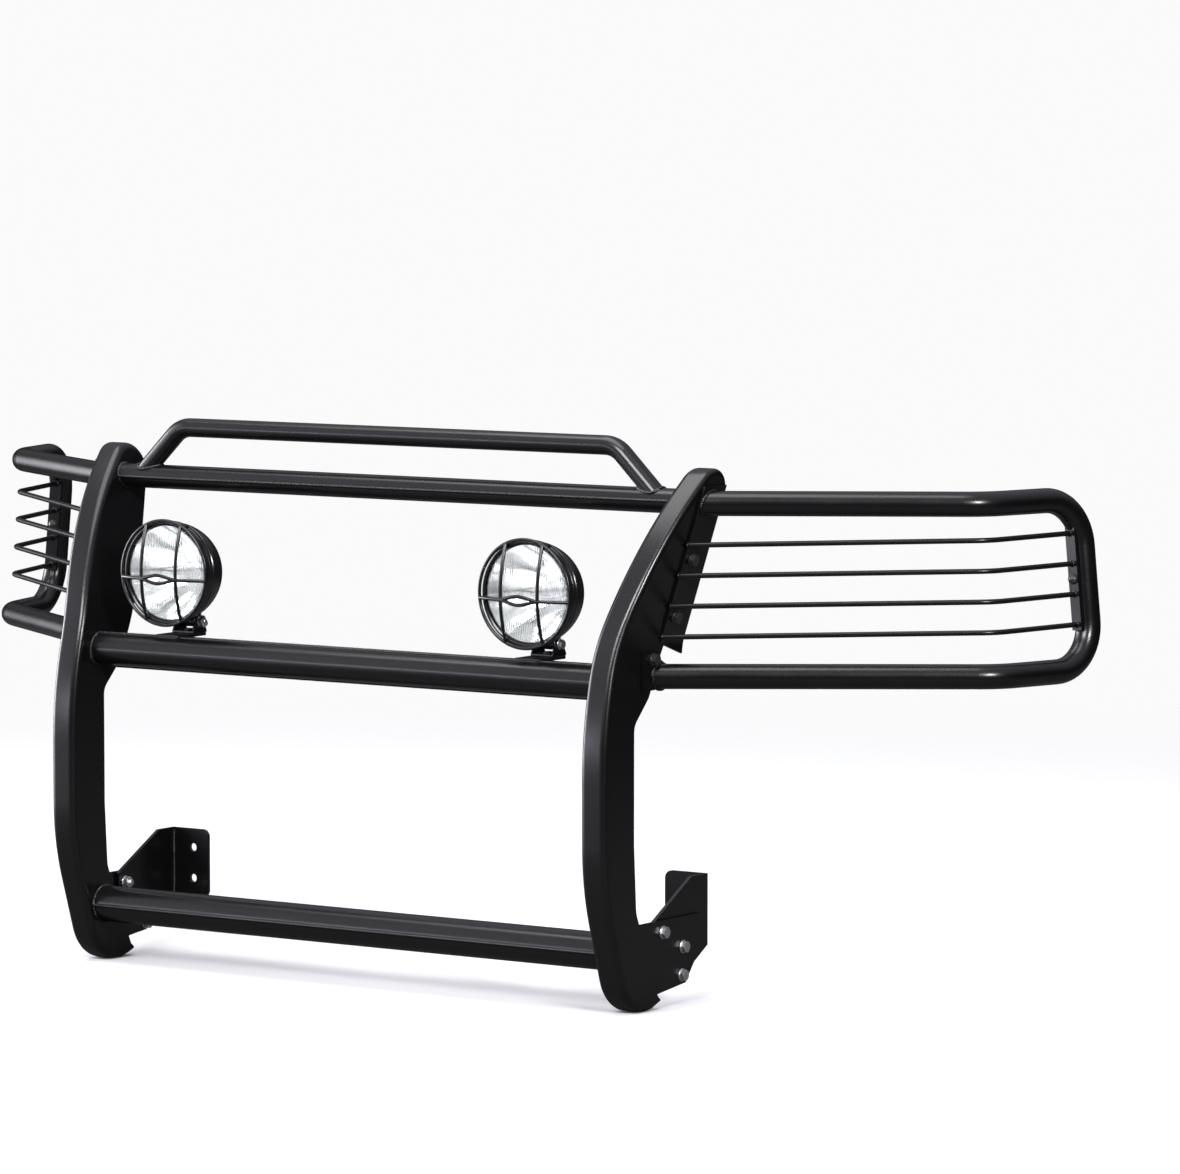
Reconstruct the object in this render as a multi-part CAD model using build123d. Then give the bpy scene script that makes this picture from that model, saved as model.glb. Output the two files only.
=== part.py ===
from build123d import *
import os
from math import asin, atan2, cos, degrees, hypot, radians, sin, sqrt, tan

# Front grille guard for a pickup or large SUV: two plate uprights carry a top crossbar with a hoop on it, a lamp
# bar and a lower bar. A wrap-round wing is bolted to each upright, and two round driving lamps stand on the lamp bar.
# Millimetres. +Z up, the front faces -Y. The origin is the middle of the four holes that bolt onto the frame horns.

# ---- uprights ----
post_width = 45.0
post_wall = 5.0
post_spacing = 1006.0           # between upright centres, below the bend
post_front_y = -300.0           # front plane of the straight stretch
splay_z = 418.0                 # the uprights bend outwards here
splay_angle = 12.4
splay_radius = 80.0
sweep_z = 220.0                 # the front starts to lean back here
sweep_radius = 620.0
crown_z = 640.0                 # centre height of the rounded top
crown_radius = 40.0
kick_z = 60.0                   # below here the front runs back under the bumper
kick_angle = 18.0
kick_radius = 400.0
nose_z = -156.5                 # where the lines of the front and the sole would meet
nose_radius = 75.0
post_depth = 80.0               # of the straight stretch
heel_y = -141.0                 # rear of the foot
heel_z = -125.0
heel_notch = (-14.0, 11.0)      # from the heel to the foot of the rear edge
taper_z = 120.0                 # below here the rear edge comes forwards
waist = (-214.0, 18.0)          # above the foot
step_z = 300.0                  # the rear edge steps back here, above the bumper
step_y = -180.0
step_rise = 40.0

# ---- cross tubes ----
tube_wall = 2.5
crossbar_dia = 38.1
crossbar_y = -102.0
crossbar_z = 630.0
hoop_dia = 30.0
hoop_half = 414.0               # centre to hoop corner
hoop_foot_half = 496.0
hoop_rise = 80.0                # above the crossbar centre
hoop_radius = 45.0
lamp_bar_dia = 50.8
lamp_bar_y = -229.0
lamp_bar_z = 364.0
lower_bar_dia = 57.15
lower_bar_y = -222.0
lower_bar_z = -42.0

# ---- wings ----
wing_dia = 38.1
wing_upper_z = 628.0
wing_lower_z = 370.0
wing_upper_y = -107.0           # where the tubes' centre lines cross the middle of the upright
wing_lower_y = -172.0
wing_bend_x = 942.0             # the bend that turns the wing along the fender
wing_bend_y = 125.0
wing_leg_x = 996.0
wing_leg_y = 308.0
wing_lean = 0.095               # the wing stands out further at the bottom
wing_bend_radius = 90.0
wing_corner_radius = 72.0
rod_dia = 8.0
rod_count = 4
rod_top_z = 567.0               # at the upright
rod_pitch = 46.0
rod_rise = 10.0                 # towards the outer end
rod_bend_radius = 60.0
rod_foot_y = [-128.0, -137.0, -144.0, -151.0]   # top rod first
strip_wall = 4.0
strip_width = 60.0
strip_top = (-112.0, 654.0)     # front top corner
strip_foot = (-156.0, 420.0)    # front bottom corner
strip_slant = 20.0              # its lower end rises towards the front
strip_bolt_in = 21.0            # bolt line, from its front edge
outer_strip_width = 20.0
outer_strip_wall = 6.0
outer_strip_over = 5.0          # past the end rods
strip_seat = 0.5                # how deep the saddle of the outer strip is
lower_tab = [(-46, -20), (20, -18), (20, 15), (-8, 30), (-8, 40), (-46, 40)]    # about the lower tube's end
lower_tab_bolt = (-20.0, 27.0)

# ---- frame brackets ----
foot_plate_wall = 6.0
bracket_wall = 6.0
horn_spacing = 940.0            # between the left and right pairs of frame holes
horn_pitch = 50.0
horn_hole_dia = 13.5
flange_edge = 30.0              # hole centre to the flange's free edge and ends
foot_plate = [(-208, -108), (-154, -113), (-71, -104), (-30, -55), (-30, -2), (-208, -2)]
bracket_bottom = [(-150, -106), (-78, -100)]

# ---- fasteners ----
M10 = dict(shank=10.0, flats=16.0, head=6.4, nut=8.0, washer=10.0, washer_wall=2.0)
M8 = dict(shank=8.0, flats=13.0, head=5.3, nut=6.5, washer=8.0, washer_wall=1.6)
hole_clearance = 0.3
bolt_past_nut = 4.0
bracket_bolts = [(-79, -48), (-82, -91), (-134, -20)]
strip_bolt_z = [544.0, 458.0]

# ---- lamps ----
lamp_x = 342.0
lamp_z = 491.0
lens_y = -237.0                 # plane of the lens edge
lens_radius = 75.0              # what shows inside the rim
lens_edge = 78.8
lens_crown = 7.0
lens_wall = 3.0
lens_flange = 4.0
rim_radius = 81.0
shell_radius = 79.0
rim_lip = 2.0
rim_depth = 16.0
gasket_wall = 2.5
reflector_wall = 1.2
reflector_mouth = 73.0
reflector_neck = 12.0
reflector_depth = 54.0
shell_wall = 2.5
shell_depth = 88.0
shell_shoulder = (66.0, 58.0)   # radius and depth at the middle of the bowl
shell_back = 34.0
tab_width = 45.0
tab_wall = 5.0
tab_front_y = -236.0
tab_back_y = -158.0
tab_sink = 1.0                  # depth of its saddle on the lamp bar
pan_y = -178.0                  # the stud that the lamp turns on
clevis_width = 41.0
clevis_depth = 36.0
clevis_wall = 3.0
clevis_gap = 0.2                # running gap at every moving face
tilt_rise = 15.0                # tilt bolt above the clevis floor
lug_radius = 9.0
running = 0.05                  # radial clearance of the two pivots
guard_radius = 82.0
guard_wire = 5.6
guard_y = -5.5                  # ring plane from the lens edge plane
guard_crown = 18.0
guard_bar_x = 33.5
guard_cross_z = -9.0
guard_eye = 6.5                 # half the height of the oval in the cross bar
guard_leg_end = 11.0

tan_splay = tan(radians(splay_angle))
post_x = post_spacing / 2
half_post = post_width / 2
NODES = {}


def keep(name, *solids):
    """Files the solids as one node."""
    NODES[name] = solids[0] if len(solids) == 1 else Compound(list(solids))


def both_sides(name, *solids):
    """Files a right-hand node and its mirror image."""
    keep("right_" + name, *solids)
    keep("left_" + name, *[mirrored(s) for s in solids])


def mirrored(shape):
    return mirror(shape, about=Plane.YZ)


def side_plate(points, radii=None):
    """A face in the YZ plane from its corners, with a fillet radius for each corner that has one."""
    face = make_face(Polyline(*points, close=True))
    face = Plane.YZ * face
    for (y, z), radius in (radii or {}).items():
        corner = face.vertices().sort_by_distance((0, y, z))[0]
        face = fillet(corner, radius)
    return face


def slab(near, far):
    """All that lies between two offsets from the right upright's centre plane, which bends outwards with height."""
    low, high = -400.0, 900.0
    lean = (high - splay_z) * tan_splay
    ring = [(post_x + near, low), (post_x + far, low), (post_x + far, splay_z), (post_x + far + lean, high),
            (post_x + near + lean, high), (post_x + near, splay_z)]
    face = make_face(Polyline(*ring, close=True))
    bends = [v for v in face.vertices() if abs(v.Y - splay_z) < 1e-6]
    face = fillet(bends, splay_radius)
    return extrude(Plane.XZ * face, 1000, both=True)


def between(face, near, far):
    """The plate whose side view is this face, between two offsets from the right upright's centre plane."""
    wide = extrude(face, 800)
    return (wide & slab(near, far)).solid()


def cheek_place(y, z, offset):
    """A frame on a plane parallel to the cheek, its Z axis along the cheek's outward normal."""
    if z < splay_z:
        return Plane((post_x + offset, y, z), x_dir=(0, 1, 0), z_dir=(1, 0, 0))
    x = post_x + offset + (z - splay_z) * tan_splay
    return Plane((x, y, z), x_dir=(0, 1, 0), z_dir=(1, 0, -tan_splay))


# ---------------- uprights ----------------
def offset_corner(corner, normal_a, normal_b, inset):
    """A corner moved inwards by the same distance from both of its edges."""
    share = inset / (1 + normal_a[0] * normal_b[0] + normal_a[1] * normal_b[1])
    return (corner[0] + share * (normal_a[0] + normal_b[0]), corner[1] + share * (normal_a[1] + normal_b[1]))


def polar(centre, radius, angle):
    return (centre[0] + radius * cos(angle), centre[1] + radius * sin(angle))


kick = radians(kick_angle)
kick_corner = (post_front_y, kick_z)
nose_corner = (post_front_y + (kick_z - nose_z) * tan(kick), nose_z)
heel = (heel_y, heel_z)
sole_turn = atan2(heel[1] - nose_corner[1], heel[0] - nose_corner[0])
sweep_centre = (post_front_y + sweep_radius, sweep_z)
crown_reach = sweep_radius - crown_radius
crown_centre = (sweep_centre[0] - sqrt(crown_reach ** 2 - (crown_z - sweep_z) ** 2), crown_z)
crown_start = atan2(crown_centre[1] - sweep_z, crown_centre[0] - sweep_centre[0])
rear_y = post_front_y + post_depth
step_foot = (rear_y, step_z)
step_head = (step_y, step_z + step_rise)
to_crown = (crown_centre[0] - step_head[0], crown_centre[1] - step_head[1])
crown_end = atan2(to_crown[1], to_crown[0]) - asin(crown_radius / hypot(*to_crown)) - radians(90)


def front_edges(inset):
    """The sole, front and crown of the side view, moved inwards by inset, from the heel to the crown's end."""
    front_in, kick_in = (1, 0), (cos(kick), sin(kick))
    sole_in = (-sin(sole_turn), cos(sole_turn))
    nose = offset_corner(nose_corner, kick_in, sole_in, inset)
    knee = offset_corner(kick_corner, front_in, kick_in, inset)
    back = (heel[0] + inset * sole_in[0], heel[1] + inset * sole_in[1])
    low = (post_front_y + inset, sweep_z)
    high = polar(sweep_centre, sweep_radius - inset, crown_start)
    middle = polar(sweep_centre, sweep_radius - inset, (crown_start + radians(180)) / 2)
    top = polar(crown_centre, crown_radius - inset, (crown_start + crown_end) / 2)
    end = polar(crown_centre, crown_radius - inset, crown_end)
    edges = [Line(back, nose), Line(nose, knee), Line(knee, low), ThreePointArc(low, middle, high),
             ThreePointArc(high, top, end)]
    return edges, back, nose, knee, end


def upright_face(inset, rear):
    """Side view of the upright: its front edges, closed by the rear points given from the crown down to the heel."""
    edges, back, nose, knee, end = front_edges(inset)
    edges.append(Polyline(end, *rear, back))
    face = Plane.YZ * make_face(Wire(Curve() + edges))
    for corner, radius in ((knee, kick_radius - inset), (nose, nose_radius - inset)):
        vertex = face.vertices().sort_by_distance((0, corner[0], corner[1]))[0]
        face = fillet(vertex, radius)
    return face


notch = (heel_y + heel_notch[0], heel_z + heel_notch[1])
rear_points = [step_head, step_foot, (rear_y, taper_z), waist, notch]
outline = upright_face(0, rear_points)
for corner, radius in ((step_head, 25), (step_foot, 25), (waist, 40)):
    outline = fillet(outline.vertices().sort_by_distance((0, corner[0], corner[1]))[0], radius)
crown_lip = polar(crown_centre, crown_radius + 30, crown_end)
inside = upright_face(post_wall, [crown_lip, (crown_lip[0] + 200, crown_lip[1]), (heel_y + 200, heel_z - 20),
                                  (heel_y + 20, heel_z + post_wall)])
strip_face = outline - inside
cheek_face = outline & inside


def hole_pin(place, size):
    """The clearance hole of a bolt whose head's washer rests at this place."""
    return place * Cylinder(size["shank"] / 2 + hole_clearance, post_width)


def strip_bolt_y(z):
    """The bolt line of the inner wing strip at a height."""
    run = (strip_top[0] - strip_foot[0]) / (strip_top[1] - strip_foot[1])
    return strip_foot[0] + (z - strip_foot[1]) * run + strip_bolt_in


tab_offset = half_post + strip_wall
lower_run = (wing_bend_y - wing_lower_y) / (wing_bend_x - post_x)
tab_centre = (wing_lower_y + tab_offset * lower_run, wing_lower_z)
tab_bolt_point = (tab_centre[0] + lower_tab_bolt[0], tab_centre[1] + lower_tab_bolt[1])
wing_bolt_points = [(strip_bolt_y(z), z) for z in strip_bolt_z] + [tab_bolt_point]
wing_places = [cheek_place(y, z, tab_offset) for y, z in wing_bolt_points]
wing_holes = [hole_pin(place, M10) for place in wing_places]
right_strip = between(strip_face, -half_post, half_post)
outer_cheek = between(cheek_face, half_post - post_wall, half_post)
for hole in wing_holes:
    outer_cheek = outer_cheek - hole
both_sides("upright_face", right_strip)
both_sides("upright_inner_cheek", between(cheek_face, -half_post, -half_post + post_wall))
both_sides("upright_outer_cheek", outer_cheek.solid())


# ---------------- cross tubes ----------------
span = extrude(Plane.XZ * make_face(Polyline((-post_x, -400), (post_x, -400), (post_x, splay_z),
                                             (post_x + 500 * tan_splay, splay_z + 500),
                                             (-post_x - 500 * tan_splay, splay_z + 500), (-post_x, splay_z),
                                             close=True)), 1000, both=True)
right_post_space = slab(-half_post, half_post)
clear_span = span - right_post_space - mirrored(right_post_space)


def cross_tube(diameter, y, z):
    """A straight tube between the inner cheeks."""
    ring = Circle(diameter / 2) - Circle(diameter / 2 - tube_wall)
    return (Pos(0, y, z) * extrude(Plane.YZ * ring, post_spacing, both=True) & clear_span).solids().sort_by(
        SortBy.VOLUME)[-1]


def bent_tube(points, radii, diameter, wall=None):
    """A tube or rod of round section along straight runs and arcs."""
    path = FilletPolyline(*points, radius=radii)
    section = Circle(diameter / 2) - Circle(diameter / 2 - wall) if wall else Circle(diameter / 2)
    return sweep(Plane(path @ 0, z_dir=path % 0) * section, path=path)


keep("top_crossbar", cross_tube(crossbar_dia, crossbar_y, crossbar_z))
lamp_bar = cross_tube(lamp_bar_dia, lamp_bar_y, lamp_bar_z)
keep("lamp_bar", lamp_bar)
keep("lower_bar", cross_tube(lower_bar_dia, lower_bar_y, lower_bar_z))
hoop_z = crossbar_z + hoop_rise
hoop = bent_tube([(-hoop_foot_half, crossbar_y, crossbar_z), (-hoop_half, crossbar_y, hoop_z),
                  (hoop_half, crossbar_y, hoop_z), (hoop_foot_half, crossbar_y, crossbar_z)],
                 [hoop_radius, hoop_radius], hoop_dia, tube_wall)
crossbar_core = Pos(0, crossbar_y, crossbar_z) * Rot(0, 90, 0) * Cylinder(crossbar_dia / 2, 2 * post_spacing)
under_crossbar = Pos(0, crossbar_y, crossbar_z) * Box(2 * post_spacing, 2 * crossbar_dia, crossbar_dia,
                                                      align=(Align.CENTER, Align.CENTER, Align.MAX))
hoop = (hoop - crossbar_core - under_crossbar) & clear_span
keep("grille_hoop", hoop.solids().sort_by(SortBy.VOLUME)[-1])


# ---------------- wings ----------------
wing_middle_z = (wing_upper_z + wing_lower_z) / 2
leg_run = hypot(wing_leg_x - wing_bend_x, wing_leg_y - wing_bend_y)
leg_way = Vector((wing_leg_x - wing_bend_x) / leg_run, (wing_leg_y - wing_bend_y) / leg_run, 0)
leg_axis = Vector(-wing_lean, 0, 1).normalized()


def leaned(x, y, z):
    """A point of the wing, moved outwards by the wing's lean at its height."""
    return Vector(x + (wing_middle_z - z) * wing_lean, y, z)


def cheek_x(z, offset):
    return post_x + offset + max(0.0, z - splay_z) * tan_splay


outboard = slab(tab_offset, 3 * post_spacing)
upper_start = Vector(cheek_x(wing_upper_z, 0), wing_upper_y, wing_upper_z)
lower_start = Vector(cheek_x(wing_lower_z, 0), wing_lower_y, wing_lower_z)
upper_bend = leaned(wing_bend_x, wing_bend_y, wing_upper_z)
lower_bend = leaned(wing_bend_x, wing_bend_y, wing_lower_z)


def from_cheek(start, bend):
    """The same run, begun inside the upright so that its end can be cut to the cheek."""
    way = (bend - start).normalized()
    return start - way * wing_dia / 2


wing_points = [from_cheek(upper_start, upper_bend), upper_bend, leaned(wing_leg_x, wing_leg_y, wing_upper_z),
               leaned(wing_leg_x, wing_leg_y, wing_lower_z), lower_bend, from_cheek(lower_start, lower_bend)]
wing_radii = [wing_bend_radius, wing_corner_radius, wing_corner_radius, wing_bend_radius]
wing_loop = bent_tube(wing_points, wing_radii, wing_dia, tube_wall) & outboard
wing_core = bent_tube(wing_points, wing_radii, wing_dia)

rod_heights = [rod_top_z - i * rod_pitch for i in range(rod_count)]
strip_middle_z = (rod_heights[0] + rod_heights[-1]) / 2 + rod_rise
strip_normal = (leg_way - leg_axis * leg_way.dot(leg_axis)).normalized()
outer_strip_place = Plane(leaned(wing_leg_x, wing_leg_y, strip_middle_z), x_dir=strip_normal.cross(leg_axis),
                          z_dir=leg_axis)      # its Y axis points on along the wing, from the strip to the leg
strip_back = wing_dia / 2 - strip_seat
strip_face_y = strip_back + outer_strip_wall
outer_strip_length = rod_heights[0] - rod_heights[-1] + rod_dia + 2 * outer_strip_over
strip_block = Pos(0, -(strip_back + strip_face_y) / 2, 0) * Box(outer_strip_width, outer_strip_wall,
                                                               outer_strip_length)
stud_place = outer_strip_place * Pos(0, -strip_face_y, 0) * Rot(90, 0, 0)
stud_grip = outer_strip_wall + strip_seat + tube_wall
stud_hole = stud_place * Cylinder(M8["shank"] / 2, 2 * stud_grip)
outer_strip = outer_strip_place * strip_block - wing_core - stud_hole
wing_loop = wing_loop - stud_hole
beyond_strip = outer_strip_place * Pos(0, -strip_face_y, 0) * Box(
    4 * wing_dia, 4 * wing_dia, 2 * outer_strip_length, align=(Align.CENTER, Align.MIN, Align.CENTER))


def wing_rod(z, foot_y):
    """One rod of the wing, welded to both strips. It rises a little on its way out."""
    foot = Vector(cheek_x(z, tab_offset), foot_y, z)
    bend = leaned(wing_bend_x, wing_bend_y, z + 0.7 * rod_rise)
    end = leaned(wing_leg_x, wing_leg_y, z + rod_rise)
    rod = bent_tube([from_cheek(foot, bend), bend, end], rod_bend_radius, rod_dia)
    return ((rod & outboard) - beyond_strip).solids().sort_by(SortBy.VOLUME)[-1]


inner_strip_face = side_plate([strip_top, (strip_top[0] + strip_width, strip_top[1]),
                               (strip_foot[0] + strip_width, strip_foot[1] - strip_slant), strip_foot])
inner_strip = between(inner_strip_face, half_post, tab_offset)
lower_tab_face = side_plate([(tab_centre[0] + y, tab_centre[1] + z) for y, z in lower_tab])
lower_tab_plate = between(lower_tab_face, half_post, tab_offset)
for hole in wing_holes:
    inner_strip = inner_strip - hole
    lower_tab_plate = lower_tab_plate - hole
both_sides("wing_loop", wing_loop.solids().sort_by(SortBy.VOLUME)[-1])
both_sides("wing_rods", *[wing_rod(z, y) for z, y in zip(rod_heights, rod_foot_y)])
both_sides("wing_inner_strip", inner_strip.solid())
both_sides("wing_outer_strip", outer_strip.solids().sort_by(SortBy.VOLUME)[-1])
keep("wing_lower_tabs", lower_tab_plate.solid(), mirrored(lower_tab_plate.solid()))


# ---------------- fasteners, drawn along +Z from the face that the head's washer rests on ----------------
def hex_bolt(size, grip):
    """Head, and a shank that runs down through washer, grip, washer and nut."""
    top = size["washer_wall"]
    head = Pos(0, 0, top) * extrude(RegularPolygon(size["flats"] / 2, 6, major_radius=False), size["head"])
    head = chamfer(head.faces().sort_by(Axis.Z)[-1].edges(), size["head"] * 0.15)
    length = top + grip + size["washer_wall"] + size["nut"] + bolt_past_nut
    shank = Pos(0, 0, top - length) * Cylinder(size["shank"] / 2, length, align=(Align.CENTER, Align.CENTER, Align.MIN))
    return head + shank


def washer(size, z):
    ring = Circle(size["washer"]) - Circle(size["shank"] / 2)
    return Pos(0, 0, z) * extrude(ring, size["washer_wall"])


def washers(size, grip):
    return [washer(size, 0), washer(size, -grip - size["washer_wall"])]


def hex_nut(size, grip):
    ring = RegularPolygon(size["flats"] / 2, 6, major_radius=False) - Circle(size["shank"] / 2)
    return Pos(0, 0, -grip - size["washer_wall"] - size["nut"]) * extrude(ring, size["nut"])


def fastener_set(name, size, grip, places):
    """Bolts, washers and nuts at right-hand places, with their mirror images."""
    bolts = [place * hex_bolt(size, grip) for place in places]
    rings = [place * ring for place in places for ring in washers(size, grip)]
    nuts = [place * hex_nut(size, grip) for place in places]
    for kind, solids in (("bolts", bolts), ("washers", rings), ("nuts", nuts)):
        keep(name + "_" + kind, *solids, *[mirrored(s) for s in solids])


wing_grip = post_wall + strip_wall
flat_places = [p for p in wing_places if p.origin.Z < splay_z]
leaning_places = [p for p in wing_places if p.origin.Z >= splay_z]
leaning_grip = wing_grip * cos(radians(splay_angle))
wing_parts = {"bolts": [], "washers": [], "nuts": []}
for places, grip in ((flat_places, wing_grip), (leaning_places, leaning_grip)):
    for place in places:
        wing_parts["bolts"].append(place * hex_bolt(M10, grip))
        wing_parts["washers"] += [place * ring for ring in washers(M10, grip)]
        wing_parts["nuts"].append(place * hex_nut(M10, grip))
for kind, solids in wing_parts.items():
    keep("wing_" + kind, *solids, *[mirrored(s) for s in solids])

stud_radius = M8["shank"] / 2
dome = Pos(0, 0, -1.0) * Sphere(8.5) & Box(20, 20, 20, align=(Align.CENTER, Align.CENTER, Align.MIN))
stud = dome + Pos(0, 0, -stud_grip) * Cylinder(stud_radius, stud_grip + 1,
                                               align=(Align.CENTER, Align.CENTER, Align.MIN))
wing_stud = stud_place * stud
keep("wing_strip_studs", wing_stud, mirrored(wing_stud))

# ---------------- frame brackets ----------------
plate_x = half_post - post_wall
bracket_places = [cheek_place(y, z, plate_x) for y, z in bracket_bolts]
foot_holes = [hole_pin(place, M10) for place in bracket_places]
foot_solid = between(side_plate(foot_plate), plate_x - foot_plate_wall, plate_x)
web_x = plate_x - foot_plate_wall
flange_top = horn_pitch / 2 + flange_edge
web_face = side_plate([*bracket_bottom, (0, -flange_top), (0, flange_top), (-45, flange_top), (-150, -4)])
web = between(web_face, web_x - bracket_wall, web_x)
horn_x = horn_spacing / 2
flange_in = horn_x - flange_edge
flange_out = post_x + web_x - bracket_wall
flange = Pos((flange_in + flange_out) / 2, -bracket_wall / 2, 0) * Box(flange_out - flange_in, bracket_wall,
                                                                      2 * flange_top)
flange = fillet(flange.edges().filter_by(Axis.Y).group_by(Axis.X)[0], 12)
for z in (-horn_pitch / 2, horn_pitch / 2):
    flange = flange - Pos(horn_x, -bracket_wall / 2, z) * Rot(90, 0, 0) * Cylinder(horn_hole_dia / 2,
                                                                                  2 * bracket_wall)
bracket = web + flange
for hole in foot_holes:
    foot_solid = foot_solid - hole
    bracket = bracket - hole
keep("foot_plates", foot_solid.solid(), mirrored(foot_solid.solid()))
both_sides("frame_bracket", bracket.solid())
fastener_set("bracket", M10, foot_plate_wall + bracket_wall, bracket_places)


# ---------------- lamps, drawn about the Y axis, with the lens edge plane at y = 0 and +Y to the rear ----------------
def turned(points_or_face):
    """A solid of revolution about Y from a face in XY, x being the radius."""
    face = points_or_face
    if isinstance(points_or_face, list):
        face = make_face(Polyline(*points_or_face, close=True))
    return revolve(face, axis=Axis.Y)


def bowl_face(radius, shoulder, back, depth, start):
    """Half section of the lamp's bowl, filled in to the axis."""
    return make_face(Wire(Curve() + [Line((0, start), (radius, start)), Line((radius, start), (radius, rim_depth)),
                                     ThreePointArc((radius, rim_depth), shoulder, (back, depth)),
                                     Line((back, depth), (0, depth)), Line((0, depth), (0, start))]))


seat = lens_flange + gasket_wall + reflector_wall
outer_bowl = turned(bowl_face(shell_radius, shell_shoulder, shell_back, shell_depth, seat))
inner_bowl = turned(bowl_face(shell_radius - shell_wall, (shell_shoulder[0] - shell_wall, shell_shoulder[1] - 1.5),
                              shell_back - 1, shell_depth - shell_wall, seat - 1))
lamp_axis = (lamp_x, lens_y, lamp_z)
clevis_floor = lamp_bar_z + lamp_bar_dia / 2 - tab_sink + tab_wall + clevis_gap
tilt_z = clevis_floor + clevis_wall + tilt_rise
lug_drop = lamp_z - tilt_z
lug_y = pan_y - lens_y
lug_width = clevis_width - 2 * clevis_wall - 2 * clevis_gap
lug = Pos(0, lug_y, -lug_drop) * Rot(0, 90, 0) * Cylinder(lug_radius, lug_width)
lug += Pos(0, lug_y, -lug_drop) * Box(lug_width, 2 * lug_radius, lug_drop - 20,
                                      align=(Align.CENTER, Align.CENTER, Align.MIN))
shell = outer_bowl + lug - inner_bowl
shell = shell - Pos(0, lug_y, -lug_drop) * Rot(0, 90, 0) * Cylinder(M8["shank"] / 2 + running, clevis_width)
gland_z = -18.0
gland_radius = 5.0
shell = shell - Pos(0, shell_depth, gland_z) * Rot(90, 0, 0) * Cylinder(gland_radius, 4 * shell_wall)
gland = Rot(-90, 0, 0) * (Pos(0, 0, -shell_wall - 2) * extrude(Circle(gland_radius + 2) - Circle(3), 2)
                          + Pos(0, 0, -shell_wall) * extrude(Circle(gland_radius) - Circle(3), shell_wall)
                          + Cone(gland_radius + 3, gland_radius + 1, 7, align=(Align.CENTER, Align.CENTER, Align.MIN))
                          - Cylinder(3, 40))

rim = turned([(lens_radius, -rim_lip), (rim_radius, -rim_lip), (rim_radius, rim_depth), (shell_radius, rim_depth),
              (shell_radius, 0), (lens_radius, 0)])
screw_hole = Pos(0, rim_depth - 5, -rim_radius) * Cylinder(2, 12)
rim = rim - screw_hole
shell = shell - screw_hole
rim_screw = (Pos(0, rim_depth - 5, -rim_radius) * Cylinder(2, 6, align=(Align.CENTER, Align.CENTER, Align.MIN))
             + Pos(0, rim_depth - 5, -rim_radius - 2.2) * Cylinder(4, 2.2, align=(Align.CENTER, Align.CENTER, Align.MIN)))
rim_screw = rim_screw - turned([(0, 0), (rim_radius, 0), (rim_radius, 0.001), (0, 0.001)])
gasket = turned([(lens_radius - 1, lens_flange), (shell_radius, lens_flange),
                 (shell_radius, lens_flange + gasket_wall), (lens_radius - 1, lens_flange + gasket_wall)])


def dome_edges(radius, crown, start):
    """Arc from the axis out to the edge of a shallow dome."""
    sphere = (radius ** 2 + crown ** 2) / (2 * crown)
    half = asin(radius / sphere) / 2
    middle = (sphere * sin(half), start - crown + sphere * (1 - cos(half)))
    return ThreePointArc((0, start - crown), middle, (radius, start))


lens_inner = lens_radius - lens_wall
lens = turned(make_face(Wire(Curve() + [
    dome_edges(lens_radius, lens_crown, 0), Line((lens_radius, 0), (lens_edge, 0)),
    Line((lens_edge, 0), (lens_edge, lens_flange)), Line((lens_edge, lens_flange), (lens_inner, lens_flange)),
    Line((lens_inner, lens_flange), (lens_inner, lens_wall)), dome_edges(lens_inner, lens_crown, lens_wall),
    Line((0, lens_wall - lens_crown), (0, -lens_crown))])))

mouth_y = lens_flange + gasket_wall
parabola = (reflector_mouth ** 2 - reflector_neck ** 2) / reflector_depth
neck_y = mouth_y + reflector_depth


def parabola_edge(shift):
    """The reflector's generating parabola, as one quadratic curve."""
    vertex = neck_y + reflector_neck ** 2 / parabola + shift
    knot = ((reflector_mouth + reflector_neck) / 2, vertex - reflector_mouth * reflector_neck / parabola)
    return Bezier((reflector_mouth, mouth_y + shift), knot, (reflector_neck, neck_y + shift))


reflector = turned(make_face(Wire(Curve() + [
    parabola_edge(0), Line((reflector_neck, neck_y), (reflector_neck, neck_y + reflector_wall)),
    parabola_edge(reflector_wall),
    Line((reflector_mouth, mouth_y + reflector_wall), (shell_radius, mouth_y + reflector_wall)),
    Line((shell_radius, mouth_y + reflector_wall), (shell_radius, mouth_y)),
    Line((shell_radius, mouth_y), (reflector_mouth, mouth_y))])))
holder_y = neck_y + reflector_wall
bulb_holder = turned([(0, holder_y - 12), (7, holder_y - 12), (7, holder_y), (15, holder_y), (15, holder_y + 3),
                      (6, holder_y + 3), (6, holder_y + 12), (0, holder_y + 12)])
bulb_tip = holder_y - 38
bulb = turned(make_face(Wire(Curve() + [
    Line((0, holder_y - 12), (5.5, holder_y - 12)), Line((5.5, holder_y - 12), (5.5, bulb_tip + 5.5)),
    ThreePointArc((5.5, bulb_tip + 5.5), (5.5 * cos(radians(45)), bulb_tip + 5.5 - 5.5 * sin(radians(45))),
                  (0, bulb_tip)), Line((0, bulb_tip), (0, holder_y - 12))])))

# stone guard: a ring just outside the rim, two bowed uprights, and a bowed cross bar that splits into an oval
wire = guard_wire / 2
bar_top = sqrt(guard_radius ** 2 - guard_bar_x ** 2)


def bowed(points):
    path = Spline(*points)
    return sweep(Plane(path @ 0, z_dir=path % 0) * Circle(wire), path=path)


def dome_y(x, z):
    """Depth of the guard's bowed face over a point of the lens."""
    return guard_y - guard_crown * (1 - (x ** 2 + z ** 2) / guard_radius ** 2)


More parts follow.
